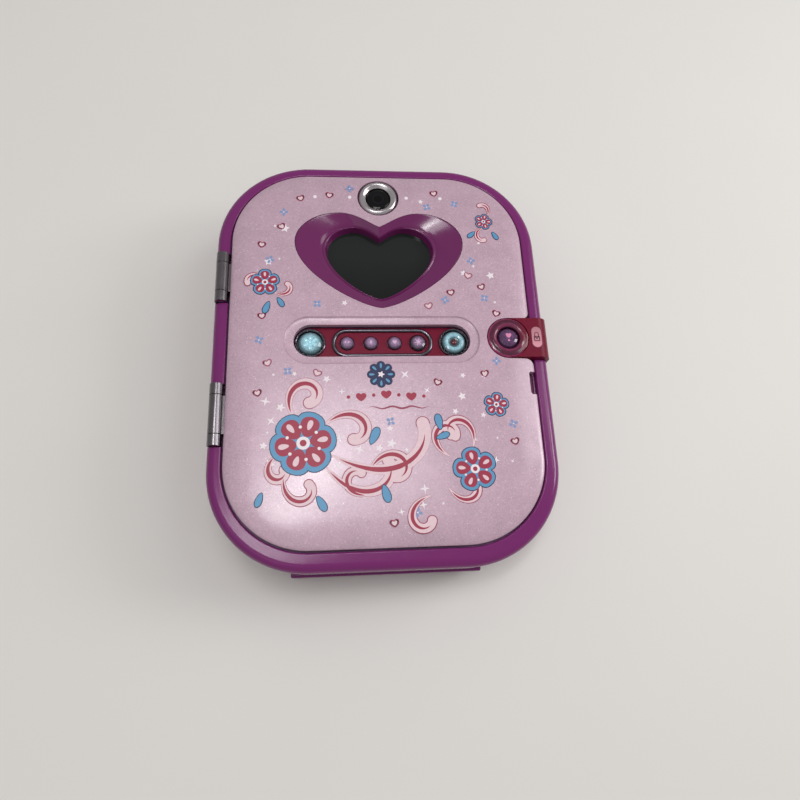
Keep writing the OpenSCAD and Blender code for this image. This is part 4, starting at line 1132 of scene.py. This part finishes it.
class DIARY_OT_latch(Operator):
    """Makes the clasp, the clear ring, the lock button and the padlock sign"""
    bl_idname = "diary.latch"
    bl_label = "Latch"

    def execute(self, context):
        low, high = box_mm("latch_housing")
        self.housing(low, high)
        self.ring(DECK_Z + 3, high.z)
        self.button()
        self.sign()
        return {"FINISHED"}

    def ring(self, z, top):
        """The clear ring round the button, with a raised lip."""
        ring = lathe(bmesh.new(), LATCH, (
            (5.4, z), (9.74, z), (9.74, top - 1.0), (9.65, top - 0.6), (9.4, top - 0.3), (9.0, top - 0.15),
            (8.4, top - 0.1), (7.7, top - 0.1), (7.35, top), (7.1, top + 0.2), (6.85, top + 0.29),
            (6.6, top + 0.25), (6.2, top + 0.05), (5.8, top - 0.25), (5.5, top - 0.55), (5.4, top - 0.8),
            (5.4, z)
        ), steps=48)
        finish_piece("latch_clear_ring", ring, "clear_wine_plastic", "case", "latch_ring", crease=24)

    def housing(self, low, high):
        """The clasp: its side view, drawn flat and stood up, crossed with its outline from above."""
        foot_x, start_x, width = 72.8, 40, 24
        floor_z, over = DECK_Z + 3, high.z + 1
        bm = bmesh.new()
        middle = ((high.x + start_x) / 2, (high.z + low.z) / 2)
        side = rounded_face(
            bm, high.x - start_x, high.z - low.z, 0, middle, corners=(0.05, 0.05, 0.05, 5.0), steps=10
        )
        rise(bm, side, [(0, width)])
        close(bm)
        bmesh.ops.rotate(bm, cent=(0, 0, 0), matrix=Matrix.Rotation(math.pi / 2, 3, "X"), verts=bm.verts[:])
        bmesh.ops.translate(bm, vec=(0, LATCH.y + width / 2, 0), verts=bm.verts[:])
        outline = prism(low.z - 1, over, latch_outline, 0, high.x)
        under = prism(low.z - 2, DECK_Z, rounded_face, 40, 30, 0.1, (foot_x - 20, LATCH.y))
        bm = carve(carve(bm, [outline], "INTERSECT"), [under])
        soften(bm, 0.7, lambda p: p.z > DECK_Z + 0.2 or p.x > foot_x + 0.1, steps=4)
        # The ring's well, open to the left, the button's hole and the sign's seat.
        bm = carve(bm, [
            prism(floor_z, over, disc_face, LATCH_R - 0.04, LATCH),
            prism(floor_z, over, latch_outline, 0.5, LATCH.x),
            prism(DECK_Z - 1, over, disc_face, 2.9, LATCH),
            prism(high.z - 0.6, over, pill_face, 4.9, 10.6, (SIGN_X, LATCH.y)),
        ])
        soften(bm, 0.15, lambda p: p.z > high.z - 0.05 and p.x > LATCH.x + 2)
        finish_piece("clasp", bm, "red_plastic", "case", "latch_housing")

    def button(self):
        """A dark gem on its stem, with a heart and a dot on top."""
        node, body, slot = "latch_button", "lock_button", "purple_key_plastic"
        top = box_mm(node)[1].z
        cap = DECK_Z + 4.4
        bm = gem(LATCH, 5.1, cap, top - 0.12, 16, 0.6)
        add_stem(bm, node, LATCH, 2.6, cap)
        finish_piece("lock_gem", bm, "button_violet", body, node, crease=12)
        bm = bmesh.new()
        z = top - 0.14
        rise(bm, heart_face(bm, (0.032, 0.046), LATCH + Vector((0, 1.0)), z, steps=5), [(0, 0.1)])
        rise(bm, disc_face(bm, 0.5, LATCH + Vector((0, -1.5)), z, 20), [(0, 0.1)])
        finish_piece("lock_gem_mark", close(bm), "pink_ink", body)

    def sign(self):
        """A rose oval with a padlock: a body, a bow and a keyhole."""
        low, high = box_mm("latch_icon_plate")
        centre = Vector(((low.x + high.x) / 2, LATCH.y))
        edge, proud = 0.25, 0.05
        bm = bmesh.new()
        oval = pill_face(bm, 4.7, 10.4, centre, low.z, steps=16)
        rise(bm, oval, [(0, high.z - low.z - edge - proud)] + rounding(edge, edge, 4))
        finish_piece("sign_oval", close(bm), "icon_plastic", "case", "latch_icon_plate")
        bm = bmesh.new()
        base = high.z - 2 * proud
        for width, length, radius, middle, line in ((3.0, 2.6, 0.5, -0.9, 0.5), (2.2, 3.2, 1.08, 0.9, 0.42)):
            outline = rounded_face(bm, width, length, radius, centre + Vector((0, middle)), base, steps=10)
            hollow(bm, rise(bm, outline, [(0, 2 * proud), (line, 0), (0, -2 * proud)]))
        rise(bm, disc_face(bm, 0.34, centre + Vector((0, -0.9)), base, 20), [(0, 2 * proud)])
        finish_piece("sign_padlock", close(bm), "sign_ink", "case")


class DIARY_OT_hinges(Operator):
    """Makes the bright hinge leaves"""
    bl_idname = "diary.hinges"
    bl_label = "Hinges"

    def execute(self, context):
        for node in ("hinge_leaf_upper", "hinge_leaf_lower", "lid_leaf_upper", "lid_leaf_lower"):
            dress(
                node + "_bright", node, "hinge_metal", 0.25, lambda p: p.z > RIM_Z - 2,
                slot="chrome", angle=55
            )
        return {"FINISHED"}


def curl(start, heading, length, bend, end_bend, count=44):
    """Points along a line whose bend grows evenly, as a tendril's does. Angles are in degrees per mm."""
    points = [Vector(start)]
    angle = math.radians(heading)
    step = length / count
    for i in range(count):
        angle += math.radians(bend + (end_bend - bend) * i / count) * step
        points.append(points[-1] + step * Vector((math.cos(angle), math.sin(angle))))
    return points


def swelling(share):
    """Share of a tendril's width: it swells from a point and stays full to its round end."""
    return min(1.0, 0.12 + 0.88 * (share / 0.6) ** 0.8)


def pointed(share):
    """Share of a stroke's width that is pointed at both ends."""
    return max(0.04, math.sin(math.pi * share) ** 0.8)


# Start, heading in degrees, length, bend at the start and at the end in degrees per mm, and width.
TENDRILS = (
    ((-25, -50), -29, 56, 0.3, 4.6, 5.6), ((-27, -55), -50, 42, 0.2, 8.1, 4.8),
    ((-40, -34), 120, 34, -2.0, -15, 5.0), ((-27, -37), 38, 31, -0.8, -14, 4.8),
    ((-47, -50), 215, 20, 4.0, 22, 4.0), ((-8, -58), 62, 30, -2.0, -15, 4.4),
    ((27, -52), 150, 26, -3.0, -17, 4.0), ((38, -48), 75, 26, 2.5, 16, 3.8),
    ((18, -69), 196, 26, 2.0, 17, 3.8), ((-44, -58), 262, 26, 2.0, 16, 3.8),
    ((-8, -68), 186, 22, -3.0, -18, 3.6), ((26, -66), 300, 22, 3.0, 18, 3.4),
    ((-54, 30), 100, 14, 4.0, 24, 2.4), ((-50, 27), 330, 12, 4.0, 26, 2.2),
    ((52, 63), 200, 12, 5.0, 26, 2.0), ((54, 69), 60, 10, 5.0, 26, 2.0),
)
# Centre, reach of the petals, their number, and the first one's angle in degrees.
BLOSSOMS = (
    ((-36, -45), 14.5, 6, 10), ((38, -58), 10.0, 5, 30), ((50, -29), 6.0, 5, 8), ((-54, 32), 7.0, 5, 20),
    ((52, 66), 4.6, 5, 0),
)
# Foot, angle in degrees and length.
LEAVES = (
    ((-7, -46), 65, 8), ((-2, -64), -75, 7.5), ((24, -40), 100, 7), ((22, -44), 20, 6),
    ((-53, -66), 250, 6), ((-30, -68), -60, 7), ((-52, 22), 250, 6), ((-48, 24), 300, 5),
    ((47, 60), 220, 4.5), ((56, 60), 300, 4.5),
)
# Centre, and turn in degrees.
SMALL_HEARTS = (
    (-38, 78, 20), (-24, 80, -10), (-55, 15, 10), (-30, -13, -25), (-52, -8, 20), (22, 20, 15), (42, 36, -15),
    (48, 30, 20), (46, -14, 10), (24, -18, -20), (57, -46, 15), (-56, 52, -10), (28, 82, 12), (54, 16, -20),
    (-56, -22, 15), (2, -80, 10), (-47, 62, 25), (33, 27, 10),
)
SMALL_FLOWERS = (
    (-46, 70), (-56, 3), (-43, -12), (30, 23), (44, 44), (49, 24), (24, 74), (52, -8), (57, -38), (-30, 21),
    (-52, 44), (-14, 84), (38, 76), (2, -36), (12, -76),
)
# Each printed shape lies this much above the one before, so that no two share a plane.
PRINT_STEP = 0.0015
# Distance that sparkles keep from each other.
SPARKLE_GAP = 4.6


def is_taken(place):
    """Whether a sparkle there would touch an opening, or lie in a corner of the lid."""
    side, y = abs(place.x), place.y
    at_window = side < 43.5 and 15 + 0.62 * side < y < 74
    at_keys = side < 50 and abs(y - SLOT.y) < 15
    at_latch = (place - LATCH).length < 14 or (place.x > 55 and abs(y - LATCH.y) < 13)
    at_camera = (place - CAMERA).length < 13
    in_corner = Vector((max(0, side - 30), max(0, abs(y - 1) - 50))).length > 27
    return at_window or at_keys or at_latch or at_camera or in_corner


class DIARY_OT_print(Operator):
    """Prints blossoms, tendrils, leaves, hearts and sparkles on the lid"""
    bl_idname = "diary.print"
    bl_label = "Print"

    def execute(self, context):
        sizes = context.scene.diary_sizes
        self.thick = sizes.ink / MM
        self.base = LID_HIGH.z - 0.01
        self.inks = {name: bmesh.new() for name in ("wine", "blush", "red", "navy", "blue", "hazy", "white")}
        self.tendrils()
        self.blossoms()
        self.leaves()
        self.small_hearts()
        self.small_flowers()
        self.sparkles(sizes.sparkles)
        self.badge()
        self.divider()
        for name, bm in self.inks.items():
            finish_piece(f"print_{name}", close(bm), f"{name}_ink", "lid")
        return {"FINISHED"}

    def level(self, layer, i=0):
        """Height of a layer of ink, and of one shape in it."""
        return self.base + layer * self.thick + i * PRINT_STEP

    def stamp(self, ink, layer, i, draw, *sizes, thickness=1.0, **more):
        """Prints the flat shape that draw makes, and gives its top face."""
        bm = self.inks[ink]
        face = draw(bm, *sizes, z=self.level(layer, i), **more)
        return rise(bm, face, [(0, thickness * self.thick)])

    def petal(self, ink, layer, i, centre, angle, near, far, width):
        """Prints a leaf or petal that reaches out from a centre."""
        bm = self.inks[ink]
        face = disc_face(bm, 1, z=self.level(layer, i), corners=24)
        for vert in face.verts:
            vert.co.y *= width / 2 * (1 + 0.25 * vert.co.x)
            vert.co.x *= (far - near) / 2
        bmesh.ops.translate(bm, vec=((far + near) / 2, 0, 0), verts=face.verts[:])
        put(bm, face.verts[:], (*centre, 0), math.radians(angle))
        rise(bm, face, [(0, self.thick)])

    def stroke(self, ink, layer, i, points, width, shares):
        """Prints a brush stroke along points; shares gives its width along the way."""
        data = bpy.data.curves.new("stroke", "CURVE")
        data.dimensions = "3D"
        data.bevel_depth = width / 2
        data.bevel_resolution = 2
        data.use_fill_caps = True
        spline = data.splines.new("POLY")
        last = len(points) - 1
        spline.points.add(last)
        for k, (point, place) in enumerate(zip(spline.points, points)):
            point.co = (*place, 0, 1)
            point.radius = shares(k / last)
        made = link_new("stroke", data)
        bpy.context.view_layer.update()
        mesh = bpy.data.meshes.new_from_object(made.evaluated_get(bpy.context.evaluated_depsgraph_get()))
        for vert in mesh.vertices:
            vert.co.z = self.level(layer, i) + (self.thick if vert.co.z > 0.001 * width else 0)
        self.inks[ink].from_mesh(mesh)
        bpy.data.objects.remove(made)
        bpy.data.curves.remove(data)
        bpy.data.meshes.remove(mesh)

    def tendrils(self):
        """Curling stems: a fine dark outline, a pale body with a round end, and a red core."""
        outline = 0.8
        for i, (start, heading, length, bend, end_bend, width) in enumerate(TENDRILS):
            line = curl(start, heading, length, bend, end_bend)
            for layer, (ink, size) in enumerate((("wine", width + outline), ("blush", width))):
                self.stroke(ink, layer, i, line, size, swelling)
                self.stamp(ink, layer, i + 0.5, disc_face, size / 2, line[-1], corners=32)
            first, end = len(line) // 10, len(line) * 23 // 25
            self.stroke("red", 2, i, line[first:end], width * 0.4, pointed)

    def blossoms(self):
        """Flowers with red petals in blue ones, each with a fine dark edge."""
        edge = 0.35
        for centre, size, count, turn in BLOSSOMS:
            for k in range(count):
                angle = turn + 360 / count * k
                for layer, ink, near, far, width in (
                    (2, "navy", size * 0.1, size, size * 0.86),
                    (3, "blue", size * 0.12, size - edge, size * 0.86 - 2 * edge),
                    (4, "red", size * 0.2, size * 0.84, size * 0.56),
                    (5, "blush", size * 0.42, size * 0.74, size * 0.16),
                ):
                    self.petal(ink, layer, k, centre, angle, near, far, width)
                between = math.radians(angle + 180 / count)
                place = Vector(centre) + size * 0.5 * Vector((math.cos(between), math.sin(between)))
                self.stamp("white", 5, k, disc_face, size * 0.05, place, corners=12)
            self.stamp("white", 5, count, disc_face, size * 0.2, centre, corners=20)
            self.stamp("red", 6, 0, disc_face, size * 0.1, centre, corners=20)

    def leaves(self):
        """Blue leaves with a fine dark edge."""
        edge = 0.35
        for i, (foot, angle, reach) in enumerate(LEAVES):
            width = reach * 0.42
            self.petal("navy", 3, i, foot, angle, -edge, reach + edge, width + 2 * edge)
            self.petal("blue", 4, i, foot, angle, 0, reach, width)

    def small_hearts(self):
        """Small outlined hearts, strewn over the lid."""
        line = 0.45
        for i, (x, y, turn) in enumerate(SMALL_HEARTS):
            way = {"turn": math.radians(turn), "steps": 6}
            bm = self.inks["wine"]
            face = self.stamp("wine", 0, i, heart_face, (0.052, 0.066), (x, y), **way)
            rise(bm, face, [(line, 0), (0, -self.thick)])
            self.stamp("blush", 0, i, heart_face, (0.03, 0.04), (x, y), thickness=0.5, **way)
            bmesh.ops.delete(bm, geom=[face], context="FACES")

    def small_flowers(self):
        """Tiny blue flowers of four petals, strewn between the hearts."""
        for i, centre in enumerate(SMALL_FLOWERS):
            for k in range(4):
                self.petal("hazy", 0, k, centre, 90 * k + 25 * i, 0.3, 2.1, 1.3)
            self.stamp("white", 1, 0, disc_face, 0.32, centre, corners=12)

    def sparkles(self, count):
        """White sparkles, clear of the openings, with a row of dots beside the camera."""
        for i, side in enumerate((-1, 1)):
            for x in (14, 31):
                self.stamp("white", 0, i, disc_face, 0.9, (side * x, CAMERA.y), corners=16)
        draw = random.Random(7)
        placed = []
        while len(placed) < count:
            place = Vector((draw.uniform(-60, 60), draw.uniform(-80, 86)))
            if is_taken(place) or any((place - other).length < SPARKLE_GAP for other in placed):
                continue
            size = draw.uniform(0.7, 2.3)
            turn = draw.uniform(0, 1)
            tips = draw.choice((4, 5, 5))
            waist = 0.3 if tips == 4 else 0.5
            self.stamp("white", 0, -0.5, star_face, size, tips, waist, place, turn=turn)
            placed.append(place)

    def badge(self):
        """A small navy flower under the keys, with blue veins and a star."""
        middle = (-1.5, -14)
        for k in range(8):
            self.petal("navy", 0, k, middle, 45 * k, 0.5, 6.4, 4.0)
            self.petal("blue", 1, k, middle, 45 * k, 2.9, 5.4, 1.0)
        self.stamp("navy", 2, 0, disc_face, 2.4, middle, corners=20)
        self.stamp("white", 3, 0, star_face, 1.7, 5, 0.5, middle, turn=0.3)

    def divider(self):
        """A row of hearts and dots under the badge, and a waved line under them."""
        middle_x, pitch, row_y, sway = 0.5, 5.6, -24, 0.6
        for i in range(-3, 4):
            place = (middle_x + pitch * i, row_y + sway * math.cos(i * 1.2))
            if i % 2 == 0:
                self.stamp("red", 0, 0, heart_face, (0.058, 0.074), place, steps=6)
            else:
                self.stamp("red", 0, 0, disc_face, 0.8, place, corners=20)
        start_x, step, wave_y, swing = -8, 0.7, -29.6, 0.5
        wave = [Vector((start_x + step * i, wave_y + swing * math.sin(i * 0.5))) for i in range(41)]
        self.stroke("wine", 0, 0, wave, 1.0, pointed)


class DIARY_PT_sidebar(Panel):
    """Lists the diary's pieces in the sidebar"""
    bl_idname = "DIARY_PT_sidebar"
    bl_label = "Secret diary"
    bl_space_type = "VIEW_3D"
    bl_region_type = "UI"
    bl_category = "Diary"

    def draw(self, context):
        for step in STEPS:
            self.layout.operator(step.bl_idname)
        for group in (context.scene.diary_colours, context.scene.diary_sizes):
            for name in group.__annotations__:
                self.layout.prop(group, name)


STEPS = (
    DIARY_OT_stage, DIARY_OT_packed_parts, DIARY_OT_case, DIARY_OT_lid, DIARY_OT_window,
    DIARY_OT_camera_eye, DIARY_OT_key_panel, DIARY_OT_large_keys, DIARY_OT_small_keys, DIARY_OT_latch,
    DIARY_OT_hinges, DIARY_OT_print,
)
CLASSES = (DiaryColours, DiarySizes) + STEPS + (DIARY_PT_sidebar,)


def register():
    for kind in CLASSES:
        bpy.utils.register_class(kind)
    bpy.types.Scene.diary_colours = PointerProperty(type=DiaryColours)
    bpy.types.Scene.diary_sizes = PointerProperty(type=DiarySizes)


def unregister():
    del bpy.types.Scene.diary_sizes
    del bpy.types.Scene.diary_colours
    for kind in reversed(CLASSES):
        bpy.utils.unregister_class(kind)


def main():
    register()
    scene = bpy.context.scene
    finishes.update(make_finishes(scene.diary_colours, scene.diary_sizes))
    for step in STEPS:
        group, name = step.bl_idname.split(".")
        getattr(getattr(bpy.ops, group), name)()


if __name__ == "__main__":
    main()
